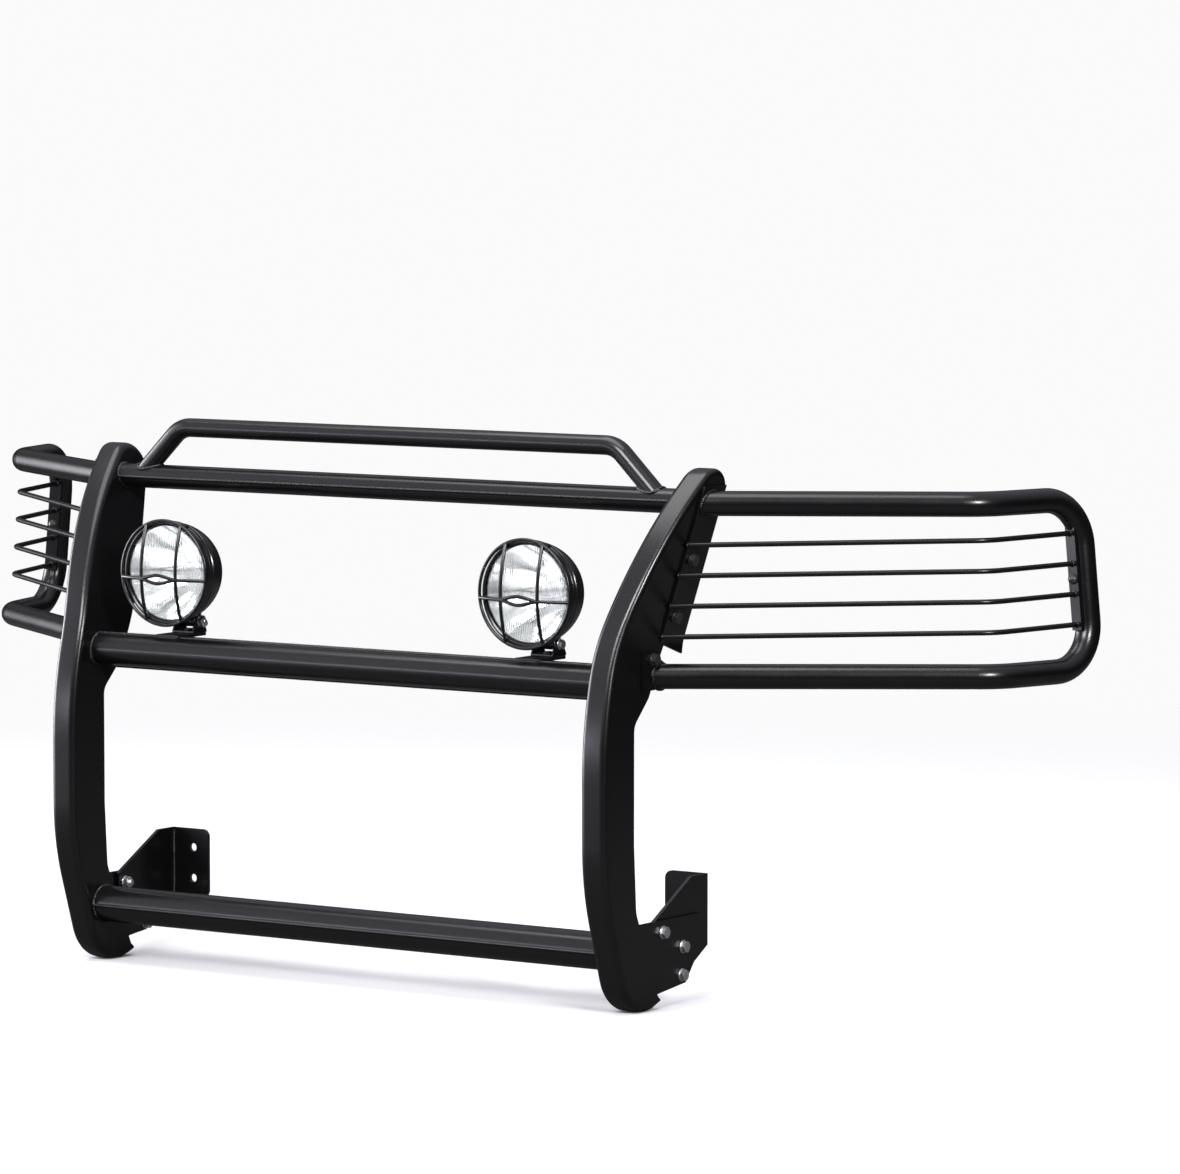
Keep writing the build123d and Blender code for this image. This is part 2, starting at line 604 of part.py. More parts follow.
def dome_line(start, end, sag=0.0):
    """Points of a bar that follows the dome from one place to another, bowed up or down by sag."""
    points = []
    for i in range(7):
        t = i / 6
        x = start[0] + (end[0] - start[0]) * t
        z = start[1] + (end[1] - start[1]) * t + sag * 4 * t * (1 - t)
        points.append((x, dome_y(x, z), z))
    return points


guard = Pos(0, guard_y, 0) * Rot(90, 0, 0) * Torus(guard_radius, wire)
for x in (-guard_bar_x, guard_bar_x):
    guard += bowed(dome_line((x, -bar_top), (x, bar_top)))
eye_end = guard_bar_x + 5
cross_end = sqrt(guard_radius ** 2 - guard_cross_z ** 2)
for side in (-1, 1):
    guard += bowed(dome_line((side * eye_end, guard_cross_z), (side * cross_end, guard_cross_z)))
    guard += bowed(dome_line((-eye_end, guard_cross_z), (eye_end, guard_cross_z), side * guard_eye))
leg_wall = 2.5
leg_mid = rim_radius + leg_wall / 2
for x in (-guard_bar_x, guard_bar_x):
    for z_side in (-1, 1):
        angle = degrees(atan2(z_side * bar_top, x))
        guard += Rot(0, -angle, 0) * Pos(leg_mid, (guard_y + guard_leg_end) / 2, 0) * Box(
            leg_wall, guard_leg_end - guard_y, 9)
guard = guard - turned([(0, -rim_lip), (rim_radius, -rim_lip), (rim_radius, rim_depth), (0, rim_depth)])

lamp_here = Pos(*lamp_axis)
for name, solid in (("lamp_housing", shell), ("lamp_rim", rim), ("lamp_rim_screw", rim_screw),
                    ("lamp_gasket", gasket), ("lamp_lens", lens), ("lamp_reflector", reflector),
                    ("lamp_bulb_holder", bulb_holder), ("lamp_bulb", bulb), ("lamp_stone_guard", guard),
                    ("lamp_gland", Pos(0, shell_depth, gland_z) * gland)):
    both_sides(name, lamp_here * solid.solids().sort_by(SortBy.VOLUME)[-1])

# ---------------- lamp mounts ----------------
tab_top = clevis_floor - clevis_gap
tab = Pos(lamp_x, (tab_front_y + tab_back_y) / 2, tab_top) * Box(
    tab_width, tab_back_y - tab_front_y, tab_wall, align=(Align.CENTER, Align.CENTER, Align.MAX))
tab = fillet(tab.edges().filter_by(Axis.Z).group_by(Axis.Y)[-1], 10)
bar_core = Pos(0, lamp_bar_y, lamp_bar_z) * Rot(0, 90, 0) * Cylinder(lamp_bar_dia / 2, 2 * post_spacing)
stud_line = Pos(lamp_x, pan_y, tab_top)
tab = tab - bar_core - stud_line * Cylinder(M10["shank"] / 2 + hole_clearance, 4 * tab_wall)
keep("lamp_tabs", tab.solid(), mirrored(tab.solid()))

arm_x = clevis_width / 2 - clevis_wall / 2
floor = Pos(0, 0, clevis_wall / 2) * Box(clevis_width, clevis_depth, clevis_wall)
arm_face = Plane.YZ * make_hull([*(Pos(0, clevis_wall + tilt_rise) * Circle(lug_radius)).edges(),
                                 *(Pos(0, clevis_wall / 2) * Rectangle(clevis_depth, clevis_wall)).edges()])
arms = Part() + [Pos(x, 0, 0) * extrude(arm_face, clevis_wall / 2, both=True) for x in (-arm_x, arm_x)]
tilt_bore = Pos(0, 0, clevis_wall + tilt_rise) * Rot(0, 90, 0) * Cylinder(M8["shank"] / 2, 2 * clevis_width)
clevis = floor + arms - tilt_bore - Cylinder(M10["shank"] / 2 + running, 4 * clevis_wall)
clevis_here = Pos(lamp_x, pan_y, clevis_floor)
both_sides("lamp_bracket", (clevis_here * clevis).solid())

# tilt bolt: head outboard, nut inboard, both tight on the bracket
tilt_plane = Plane((lamp_x + clevis_width / 2, pan_y, tilt_z), x_dir=(0, 1, 0), z_dir=(1, 0, 0))
both_sides("lamp_tilt_bolt", tilt_plane * hex_bolt(M8, clevis_width))
both_sides("lamp_tilt_nut", tilt_plane * hex_nut(M8, clevis_width))
both_sides("lamp_tilt_washers", *[tilt_plane * ring for ring in washers(M8, clevis_width)])

# mounting stud: a low round head in the bracket, and a flanged nut under the tab
stud_head_z = clevis_gap + clevis_wall + clevis_gap
stud_head = Pos(0, 0, stud_head_z) * Cylinder(9, 3, align=(Align.CENTER, Align.CENTER, Align.MIN))
stud_length = stud_head_z + tab_wall + M10["washer_wall"] + M10["nut"] + bolt_past_nut
stud_shank = Pos(0, 0, stud_head_z - stud_length) * Cylinder(M10["shank"] / 2, stud_length,
                                                            align=(Align.CENTER, Align.CENTER, Align.MIN))
lamp_studs = stud_line * (stud_head + stud_shank)
under_nut = stud_line * (washer(M10, -tab_wall - M10["washer_wall"]) + hex_nut(M10, tab_wall))
keep("lamp_mount_studs", lamp_studs, mirrored(lamp_studs))
keep("lamp_mount_nuts", under_nut, mirrored(under_nut))

os.makedirs("parts", exist_ok=True)
for name, shape in NODES.items():
    shape.label = name
    export_step(shape, "parts/" + name + ".step")
print(len(NODES), "nodes")
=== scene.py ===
import math
import random

import bmesh
import bpy
import numpy
from mathutils import Matrix, Vector


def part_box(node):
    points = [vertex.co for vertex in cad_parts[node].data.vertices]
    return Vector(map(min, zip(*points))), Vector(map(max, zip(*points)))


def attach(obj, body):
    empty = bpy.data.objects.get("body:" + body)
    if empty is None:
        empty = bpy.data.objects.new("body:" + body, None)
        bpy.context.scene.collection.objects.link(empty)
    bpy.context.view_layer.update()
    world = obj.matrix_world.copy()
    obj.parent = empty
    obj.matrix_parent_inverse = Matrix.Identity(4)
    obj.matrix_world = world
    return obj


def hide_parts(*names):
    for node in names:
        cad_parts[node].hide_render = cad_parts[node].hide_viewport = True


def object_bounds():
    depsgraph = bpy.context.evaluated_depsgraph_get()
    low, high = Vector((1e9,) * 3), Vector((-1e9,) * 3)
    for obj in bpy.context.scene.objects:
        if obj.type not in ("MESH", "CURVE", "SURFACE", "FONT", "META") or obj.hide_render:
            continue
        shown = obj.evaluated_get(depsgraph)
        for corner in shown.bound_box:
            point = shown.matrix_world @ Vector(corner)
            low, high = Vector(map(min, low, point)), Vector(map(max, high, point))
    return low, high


# A truck's front grille guard: two plate uprights, cross tubes, a hoop, bolted wrap-round wings and two driving
# lamps with stone guards. Metres. The front faces -Y, and the frame rails of the truck bolt on at the origin.
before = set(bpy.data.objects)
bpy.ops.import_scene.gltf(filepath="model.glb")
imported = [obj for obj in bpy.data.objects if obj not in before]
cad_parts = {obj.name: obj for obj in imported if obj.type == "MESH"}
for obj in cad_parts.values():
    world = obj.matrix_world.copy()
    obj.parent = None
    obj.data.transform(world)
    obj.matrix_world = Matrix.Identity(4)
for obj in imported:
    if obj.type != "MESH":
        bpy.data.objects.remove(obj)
cad_low, cad_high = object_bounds()
chance = random.Random(11)

# ---- Powder coat ----
# The steel is blasted and sprayed with satin black powder, which is baked until it flows. It keeps a faint orange
# peel, varies a little in gloss, and catches a trace of dust on the tops of the tubes.


def group(name, inputs, outputs):
    """A shader node group with its sockets, ready to be filled."""
    tree = bpy.data.node_groups.new(name, "ShaderNodeTree")
    for title, value in inputs.items():
        socket = tree.interface.new_socket(name=title, in_out="INPUT", socket_type="NodeSocketFloat")
        socket.default_value = value
    for title in outputs:
        tree.interface.new_socket(name=title, in_out="OUTPUT", socket_type="NodeSocketFloat")
    return tree, tree.nodes.new("NodeGroupInput"), tree.nodes.new("NodeGroupOutput")


def put(tree, kind, settings=None, **values):
    """Adds a node, sets its properties, then its inputs or their links. i0, i1 and so on are inputs by number."""
    node = tree.nodes.new(kind)
    for key, value in (settings or {}).items():
        setattr(node, key, value)
    for key, value in values.items():
        numbered = key[0] == "i" and key[1:].isdigit()
        socket = node.inputs[int(key[1:])] if numbered else node.inputs[key.replace("_", " ")]
        if isinstance(value, bpy.types.NodeSocket):
            tree.links.new(value, socket)
        else:
            socket.default_value = value
    return node


def surface_grain():
    """Fine height, and a slow drift between two values, for any sprayed, plated or moulded surface."""
    tree, given, made = group("surface_grain", {"Size": 0.0025, "Cloud": 0.1, "Low": 0.0, "High": 1.0},
                              ["Height", "Variation"])
    place = put(tree, "ShaderNodeTexCoord")
    fine = put(tree, "ShaderNodeMath", {"operation": "DIVIDE"}, i0=1.0, i1=given.outputs["Size"])
    slow = put(tree, "ShaderNodeMath", {"operation": "DIVIDE"}, i0=1.0, i1=given.outputs["Cloud"])
    peel = put(tree, "ShaderNodeTexNoise", Vector=place.outputs["Object"], Scale=fine.outputs["Value"],
               Detail=2.0, Roughness=0.5)
    cloud = put(tree, "ShaderNodeTexNoise", Vector=place.outputs["Object"], Scale=slow.outputs["Value"],
                Detail=5.0, Roughness=0.62)
    spread = put(tree, "ShaderNodeMapRange", i0=cloud.outputs["Fac"], i1=0.3, i2=0.7, i3=given.outputs["Low"],
                 i4=given.outputs["High"])
    tree.links.new(peel.outputs["Fac"], made.inputs["Height"])
    tree.links.new(spread.outputs["Result"], made.inputs["Variation"])
    return tree


def settled_dust():
    """A mask of the dust that settles on upward faces, broken up by a fine noise."""
    tree, given, made = group("settled_dust", {"Amount": 0.2}, ["Mask"])
    surface = put(tree, "ShaderNodeNewGeometry")
    up = put(tree, "ShaderNodeSeparateXYZ", i0=surface.outputs["Normal"])
    slope = put(tree, "ShaderNodeMapRange", i0=up.outputs["Z"], i1=0.55, i2=1.0, i3=0.0, i4=1.0)
    place = put(tree, "ShaderNodeTexCoord")
    patch = put(tree, "ShaderNodeTexNoise", Vector=place.outputs["Object"], Scale=55.0, Detail=6.0, Roughness=0.7)
    broken = put(tree, "ShaderNodeMapRange", i0=patch.outputs["Fac"], i1=0.38, i2=0.72, i3=0.0, i4=1.0)
    both = put(tree, "ShaderNodeMath", {"operation": "MULTIPLY"}, i0=slope.outputs["Result"],
               i1=broken.outputs["Result"])
    some = put(tree, "ShaderNodeMath", {"operation": "MULTIPLY"}, i0=both.outputs["Value"],
               i1=given.outputs["Amount"])
    tree.links.new(some.outputs["Value"], made.inputs["Mask"])
    return tree


GRAIN = surface_grain()
DUST = settled_dust()
DUST_TONE = (0.16, 0.155, 0.15)


def new_material(name):
    """A material with its node tree and its shader."""
    material = bpy.data.materials.new(name)
    material.use_nodes = True
    return material, material.node_tree, material.node_tree.nodes["Principled BSDF"]


def coated(name, colour, other, roughness, peel, peel_size, dust=0.1, metallic=0.0, ior=1.5, cloud=0.1):
    """A sprayed, plated or moulded finish that drifts between two colours. peel is its bump's strength."""
    material, tree, shader = new_material(name)
    grain = put(tree, "ShaderNodeGroup", {"node_tree": GRAIN}, Size=peel_size, Cloud=cloud, Low=0.0, High=1.0)
    settled = put(tree, "ShaderNodeGroup", {"node_tree": DUST}, Amount=dust)
    drift = put(tree, "ShaderNodeMix", {"data_type": "RGBA"}, Factor=grain.outputs["Variation"])
    drift.inputs[6].default_value = (*colour, 1.0)
    drift.inputs[7].default_value = (*other, 1.0)
    tone = put(tree, "ShaderNodeMix", {"data_type": "RGBA"}, Factor=settled.outputs["Mask"], i6=drift.outputs[2])
    tone.inputs[7].default_value = (*DUST_TONE, 1.0)
    gloss = put(tree, "ShaderNodeMapRange", i0=grain.outputs["Variation"], i1=0.0, i2=1.0, i3=roughness * 0.9,
                i4=roughness * 1.12)
    rough = put(tree, "ShaderNodeMath", {"operation": "MULTIPLY_ADD"}, i0=settled.outputs["Mask"], i1=0.5,
                i2=gloss.outputs["Result"])
    bump = put(tree, "ShaderNodeBump", Strength=peel, Distance=0.0004, Height=grain.outputs["Height"])
    tree.links.new(tone.outputs[2], shader.inputs["Base Color"])
    tree.links.new(rough.outputs["Value"], shader.inputs["Roughness"])
    tree.links.new(bump.outputs["Normal"], shader.inputs["Normal"])
    shader.inputs["IOR"].default_value = ior
    shader.inputs["Metallic"].default_value = metallic
    return material


POWDER = coated("powder_black", (0.0040, 0.0040, 0.0045), (0.0030, 0.0030, 0.0034), 0.24, 0.05, 0.0026,
                dust=0.015)


def dress(material, *nodes):
    """Gives carried-over nodes a finish."""
    for node in nodes:
        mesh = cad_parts[node].data
        mesh.materials.clear()
        mesh.materials.append(material)


# ---- Uprights ----
# Each upright is a weldment of 5 mm plate: a front strip rolled to the side outline between two cheeks, with its
# corners ground round before coating. It is open to the rear, and bends outwards a little above the lamp bar.
SIDES = {"left": -1, "right": 1}
POST_WALL = 0.005
POST_CORNER = 0.0105
SPLAY_Z = 0.418
SPLAY = math.radians(12.4)
SPLAY_RADIUS = 0.40
SPLAY_START = SPLAY_Z - SPLAY_RADIUS * math.tan(SPLAY / 2)
SPLAY_CUTS = 12
SWEEP_Z, SWEEP_RADIUS = 0.220, 0.620
CROWN_Z, CROWN_RADIUS = 0.640, 0.040
KICK_Z, KICK, KICK_RADIUS = 0.060, math.radians(18.0), 0.400
NOSE_Z, NOSE_RADIUS = -0.1565, 0.075
HEEL, NOTCH = (-0.141, -0.125), (-0.155, -0.114)
WAIST, WAIST_RADIUS = (-0.214, 0.018), 0.040
TAPER_Z, REAR_Y = 0.120, -0.220
STEP_FOOT, STEP_HEAD, STEP_RADIUS = (REAR_Y, 0.300), (-0.180, 0.340), 0.025
post_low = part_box("right_upright_face")[0]
lamp_bar_low, lamp_bar_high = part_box("lamp_bar")
FRONT_Y = post_low.y
INNER_X = lamp_bar_high.x       # the bar ends on the straight part of the inner cheek
HALF_POST = 0.0225
POST_X = INNER_X + HALF_POST


def lean(z):
    """How far the upright has moved outwards at a height: a bend of large radius, then a straight slope."""
    if z <= SPLAY_START:
        return 0.0
    if z < SPLAY_START + SPLAY_RADIUS * math.sin(SPLAY):
        return SPLAY_RADIUS - math.sqrt(SPLAY_RADIUS ** 2 - (z - SPLAY_START) ** 2)
    return (z - SPLAY_Z) * math.tan(SPLAY)


def arc(centre, radius, start, end, steps):
    """Points along an arc, from one angle to another."""
    return [(centre[0] + radius * math.cos(start + (end - start) * i / steps),
             centre[1] + radius * math.sin(start + (end - start) * i / steps)) for i in range(steps + 1)]


def rounded(before, corner, after, radius, steps=10):
    """The arc that replaces a corner between two straight lines."""
    at = Vector(corner)
    to_before = (Vector(before) - at).normalized()
    to_after = (Vector(after) - at).normalized()
    half = to_before.angle(to_after) / 2
    centre = at + (to_before + to_after).normalized() * radius / math.sin(half)
    start = at + to_before * radius / math.tan(half) - centre
    turn = math.pi - 2 * half
    if start.x * to_before.y - start.y * to_before.x > 0:
        turn = -turn
    first = math.atan2(start.y, start.x)
    return arc(centre, radius, first, first + turn, steps)


def upright_outline():
    """The side view as (y, z): the front line from the heel to the end of the crown, and the rear line back."""
    nose = (FRONT_Y + (KICK_Z - NOSE_Z) * math.tan(KICK), NOSE_Z)
    knee = (FRONT_Y, KICK_Z)
    sweep = (FRONT_Y + SWEEP_RADIUS, SWEEP_Z)
    reach = SWEEP_RADIUS - CROWN_RADIUS
    crown = (sweep[0] - math.sqrt(reach ** 2 - (CROWN_Z - SWEEP_Z) ** 2), CROWN_Z)
    crown_start = math.atan2(crown[1] - sweep[1], crown[0] - sweep[0])
    to_crown = (crown[0] - STEP_HEAD[0], crown[1] - STEP_HEAD[1])
    crown_end = (math.atan2(to_crown[1], to_crown[0]) - math.asin(CROWN_RADIUS / math.hypot(*to_crown))
                 - math.pi / 2)
    front = [HEEL] + rounded(HEEL, nose, knee, NOSE_RADIUS, 22)
    front += rounded(nose, knee, (FRONT_Y, SWEEP_Z), KICK_RADIUS, 12)
    front += arc(sweep, SWEEP_RADIUS, math.pi, crown_start, 40)
    front += arc(crown, CROWN_RADIUS, crown_start, crown_end, 24)[1:]
    rear = rounded(front[-1], STEP_HEAD, STEP_FOOT, STEP_RADIUS)
    rear += rounded(STEP_HEAD, STEP_FOOT, (REAR_Y, TAPER_Z), STEP_RADIUS)
    rear += [(REAR_Y, TAPER_Z)] + rounded((REAR_Y, TAPER_Z), WAIST, NOTCH, WAIST_RADIUS) + [NOTCH]
    return front, rear


def sharp_edges(shape, degrees):
    """The edges whose two faces meet at more than an angle."""
    return [e for e in shape.edges if e.is_manifold and e.calc_face_angle() > math.radians(degrees)]


def soften(shape, width, degrees=40.0, segments=2):
    """Eases every corner sharper than an angle."""
    bmesh.ops.bevel(shape, geom=sharp_edges(shape, degrees), offset=width, segments=segments, affect="EDGES",
                    profile=0.5, material=-1, clamp_overlap=True)


def flipped(shape):
    """The left-hand copy of a right-hand shape."""
    copy = shape.copy()
    bmesh.ops.scale(copy, vec=(-1, 1, 1), verts=copy.verts)
    bmesh.ops.reverse_faces(copy, faces=copy.faces)
    return copy


def piece(name, shape, material, body, finish, *nodes, smooth=38.0):
    """Makes a finished object of a shape, on a body, in place of carried-over nodes."""
    mesh = bpy.data.meshes.new(name)
    shape.to_mesh(mesh)
    shape.free()
    mesh.shade_smooth()
    mesh.set_sharp_from_angle(angle=math.radians(smooth))
    mesh.materials.append(material)
    made = bpy.data.objects.new(name, mesh)
    bpy.context.collection.objects.link(made)
    even = made.modifiers.new("even_shading", "WEIGHTED_NORMAL")
    even.keep_sharp = True
    if nodes:
        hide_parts(*nodes)
    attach(made, body)
    return made


def upright():
    """The right-hand upright as one open channel of plate."""
    front, rear = upright_outline()
    shape = bmesh.new()
    rims = []
    for x in (-HALF_POST, HALF_POST):
        ring = [shape.verts.new((x, y, z)) for y, z in front + rear]
        shape.faces.new(ring)
        rims += [shape.edges.get((a, b)) for a, b in zip(ring[:len(front) - 1], ring[1:len(front)])]
    bmesh.ops.bridge_loops(shape, edges=rims)
    bmesh.ops.recalc_face_normals(shape, faces=shape.faces)
    bmesh.ops.bevel(shape, geom=rims, offset=POST_CORNER, segments=6, affect="EDGES", profile=0.5, material=-1,
                    clamp_overlap=False)
    for i in range(SPLAY_CUTS + 1):
        height = SPLAY_START + SPLAY_RADIUS * math.sin(SPLAY * i / SPLAY_CUTS)
        bmesh.ops.bisect_plane(shape, geom=shape.verts[:] + shape.edges[:] + shape.faces[:], dist=1e-6,
                               plane_co=(0, 0, height), plane_no=(0, 0, 1))
    for vertex in shape.verts:
        vertex.co.x += POST_X + lean(vertex.co.z)
    strip = min(shape.faces, key=lambda f: f.calc_center_median().y)
    if strip.normal.y > 0:
        bmesh.ops.reverse_faces(shape, faces=shape.faces)
    bmesh.ops.solidify(shape, geom=shape.faces[:], thickness=POST_WALL)
    soften(shape, 0.0007, degrees=55.0)
    return shape


right_upright = upright()
for side in SIDES:
    shape = right_upright.copy() if side == "right" else flipped(right_upright)
    piece(side + "_upright", shape, POWDER, "guard", "powder_black", side + "_upright_face",
          side + "_upright_inner_cheek", side + "_upright_outer_cheek", smooth=50.0)

# ---- Cross tubes and hoop ----
# Round steel tube: the crossbar, lamp bar and lower bar run between the inner cheeks and the hoop's feet are coped
# onto the crossbar. Each end has a weld bead run all the way round before the powder coat.
BEAD = 0.0030
RIPPLE = 0.0021                 # from one puddle to the next
PUDDLE = (0.84, 1.02, 0.95)     # thickness of the bead along each puddle


def merged(node):
    """A welded-up copy of a carried-over node's mesh."""
    shape = bmesh.new()
    shape.from_mesh(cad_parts[node].data)
    bmesh.ops.remove_doubles(shape, verts=shape.verts, dist=1e-6)
    return shape


def connected(verts):
    """Splits some vertices into the groups that edges join."""
    left = set(verts)
    while left:
        island, queue = [], [left.pop()]
        while queue:
            vertex = queue.pop()
            island.append(vertex)
            for edge in vertex.link_edges:
                other = edge.other_vert(vertex)
                if other in left:
                    left.remove(other)
                    queue.append(other)
        yield island


def seams(node, at_seam):
    """The outer rings of a tube's vertices that lie on a seam, each in order round its middle."""
    shape = merged(node)
    rings = []
    for found in connected([v for v in shape.verts if at_seam(v.co)]):
        middle = sum((v.co for v in found), Vector()) / len(found)
        spread = numpy.array([v.co - middle for v in found])
        across, along, _ = numpy.linalg.svd(spread, full_matrices=False)[2]
        outer = [v.co for v in found if any(
            f.normal.dot(v.co - middle) > 0.5 * (v.co - middle).length for f in v.link_faces)]
        outer.sort(key=lambda p: math.atan2((p - middle).dot(Vector(along)), (p - middle).dot(Vector(across))))
        if len(outer) > 5:
            rings.append([p.copy() for p in outer])
    shape.free()
    return rings


def swept(points, radius, sides, closed=False, swell=None):
    """A round bar along a line, as a mesh. swell is its relative thickness at each point."""
    data = bpy.data.curves.new("swept", "CURVE")
    data.dimensions = "3D"
    data.bevel_depth = radius
    data.bevel_resolution = sides
    data.use_fill_caps = True
    spline = data.splines.new("POLY")
    spline.points.add(len(points) - 1)
    spline.use_cyclic_u = closed
    for i, point in enumerate(spline.points):
        point.co = (*points[i], 1.0)
        point.radius = swell[i] if swell else 1.0
    made = bpy.data.objects.new("swept", data)
    bpy.context.collection.objects.link(made)
    mesh = bpy.data.meshes.new_from_object(made.evaluated_get(bpy.context.evaluated_depsgraph_get()))
    bpy.data.objects.remove(made)
    bpy.data.curves.remove(data)
    return mesh


def bead(points, radius, closed=True):
    """A weld bead along a line, with the ripples of its puddles."""
    line = [Vector(p) for p in points] + ([Vector(points[0])] if closed else [])
    reach = [0.0]
    for a, b in zip(line, line[1:]):
        reach.append(reach[-1] + (b - a).length)
    count = max(12, 3 * round(reach[-1] / RIPPLE))
    places, swell = [], []
    for i in range(count):
        at = reach[-1] * i / (count if closed else count - 1)
        k = max(j for j in range(len(reach)) if reach[j] <= at + 1e-9)
        k = min(k, len(line) - 2)
        places.append(line[k].lerp(line[k + 1], (at - reach[k]) / max(1e-9, reach[k + 1] - reach[k])))
        swell.append(PUDDLE[i % 3] * chance.uniform(0.95, 1.06))
    return swept(places, radius, 2, closed, swell)


def beads(name, lines, radius, body="guard", closed=True):
    """One piece for a set of weld beads."""
    shape = bmesh.new()
    for line in lines:
        shape.from_mesh(bead(line, radius, closed))
    return piece(name, shape, POWDER, body, "powder_black", smooth=80.0)


dress(POWDER, "top_crossbar", "lamp_bar", "lower_bar", "grille_hoop")
for node in ("top_crossbar", "lamp_bar", "lower_bar"):
    beads(node + "_welds", seams(node, lambda p: abs(p.x) > 0.4), BEAD)
crossbar_low, crossbar_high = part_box("top_crossbar")
CROSSBAR_RADIUS = (crossbar_high.z - crossbar_low.z) / 2
CROSSBAR_Y = (crossbar_high.y + crossbar_low.y) / 2
CROSSBAR_Z = (crossbar_high.z + crossbar_low.z) / 2
beads("grille_hoop_welds", seams("grille_hoop", lambda p: abs(p.x) > 0.43 and math.hypot(
    p.y - CROSSBAR_Y, p.z - CROSSBAR_Z) < CROSSBAR_RADIUS + 0.0008), BEAD)

# ---- Wings ----
# Each wing is a bent tube loop that wraps round to the fender, with four rods behind a narrow outer strip and a
# sheared plate and a tab that bolt to the upright. Tube and rods are welded to the plates all round.
PLATE_EASE = 0.0006
ROD_BEAD = 0.0017
WING_PLATE = 0.004
AT_SEAM = 0.0015                # how near the plate a tube's end ring lies
strip_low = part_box("right_wing_outer_strip")[0]
dress(POWDER, *[side + "_wing_" + kind for side in SIDES for kind in ("loop", "rods")])


def eased(node, width, degrees=30.0):
    """A carried-over plate, with its sheared edges eased as they are before coating."""
    shape = merged(node)
    bmesh.ops.dissolve_limit(shape, angle_limit=math.radians(0.5), verts=shape.verts, edges=shape.edges)
    soften(shape, width, degrees)
    return shape


def off_cheek(point):
    """Distance outwards from the plate that is bolted to the outer cheek, above the bend or below it."""
    out = POST_X + HALF_POST + WING_PLATE + max(0.0, point.z - SPLAY_Z) * math.tan(SPLAY)
    return abs(abs(point.x) - out)


for side in SIDES:
    piece(side + "_wing_plate", eased(side + "_wing_inner_strip", PLATE_EASE), POWDER, "guard", "powder_black",
          side + "_wing_inner_strip")
    piece(side + "_wing_flat", eased(side + "_wing_outer_strip", PLATE_EASE), POWDER, "guard", "powder_black",
          side + "_wing_outer_strip")
    beads(side + "_wing_loop_welds", seams(side + "_wing_loop", lambda p: off_cheek(p) < AT_SEAM), BEAD)
    beads(side + "_wing_rod_welds", seams(side + "_wing_rods", lambda p: off_cheek(p) < AT_SEAM)
          + seams(side + "_wing_rods", lambda p: p.y > strip_low.y - 0.004), ROD_BEAD)
piece("wing_tabs", eased("wing_lower_tabs", PLATE_EASE), POWDER, "guard", "powder_black", "wing_lower_tabs")

# ---- Frame brackets ----
# A foot plate is welded inside each outer cheek, and a bracket of two 6 mm plates, welded in an L, bolts to it and
# carries the holes for the frame horn.
BRACKET_PLATE = 0.006
FOOT_BEAD = 0.0026
piece("foot_plate_pair", eased("foot_plates", PLATE_EASE), POWDER, "guard", "powder_black", "foot_plates")
for side, way in SIDES.items():
    node = side + "_frame_bracket"
    low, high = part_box(node)
    piece(side + "_horn_bracket", eased(node, PLATE_EASE), POWDER, "guard", "powder_black", node)
    corner_x, corner_y = way * (max(high.x, -low.x) - BRACKET_PLATE), -BRACKET_PLATE - 0.0002
    beads(node + "_welds", [[(corner_x, corner_y, 0.004 - high.z), (corner_x, corner_y, high.z - 0.004)]], BEAD,
          closed=False)
foot_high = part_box("foot_plates")[1]
inside_cheek = foot_high.x - 0.0005
for side, way in SIDES.items():
    weld_line = [(way * inside_cheek, NOTCH[0] + 0.002, NOTCH[1] + 0.008),
                 (way * inside_cheek, WAIST[0] + 0.015, foot_high.z - 0.012)]
    beads(side + "_foot_weld", [weld_line], FOOT_BEAD, closed=False)

# ---- Nuts and bolts ----
# Hot-forged hex bolts and nuts with chamfered corners, rolled threads and stamped washers with rounded rims. The
# brackets have bright zinc ones, the wings dull blackened ones.
ZINC = coated("zinc_plate", (0.86, 0.86, 0.88), (0.70, 0.70, 0.71), 0.36, 0.10, 0.0008, dust=0.05, metallic=1.0,
              cloud=0.012)
OXIDE = coated("black_oxide", (0.020, 0.019, 0.019), (0.034, 0.031, 0.029), 0.34, 0.15, 0.0009, dust=0.05,
               cloud=0.010)
M10 = dict(shank=0.010, flats=0.016, head=0.0064, nut=0.008, washer=0.010, wall=0.002, pitch=0.0015)
M8 = dict(shank=0.008, flats=0.013, head=0.0053, nut=0.0065, washer=0.008, wall=0.0016, pitch=0.00125)
HEX_STEPS = 48


def hexed(angle, flats):
    """Radius of a hexagon at an angle."""
    return flats / 2 / math.cos((angle + math.pi / 6) % (math.pi / 3) - math.pi / 6)


def rings(levels, steps):
    """A closed shape up the Z axis from rings, each given as (radius, height) functions of the angle."""
    shape = bmesh.new()
    first = bmesh.ops.create_circle(shape, segments=steps, radius=1.0, cap_ends=False)["verts"]
    angles = [math.atan2(v.co.y, v.co.x) for v in first]
    ring, edges = first, shape.edges[:]
    for number, (radius, height) in enumerate(levels):
        if number:
            grown = bmesh.ops.extrude_edge_only(shape, edges=edges)["geom"]
            edges = [g for g in grown if isinstance(g, bmesh.types.BMEdge) and len(g.link_faces) == 1]
            ring = [g for g in grown if isinstance(g, bmesh.types.BMVert)]
            angles = [math.atan2(v.co.y, v.co.x) for v in ring]
        for vertex, angle in zip(ring, angles):
            r = radius(angle)
            vertex.co = (r * math.cos(angle), r * math.sin(angle), height(angle))
    bmesh.ops.holes_fill(shape, edges=[e for e in shape.edges if e.is_boundary], sides=0)
    bmesh.ops.recalc_face_normals(shape, faces=shape.faces)
    return shape


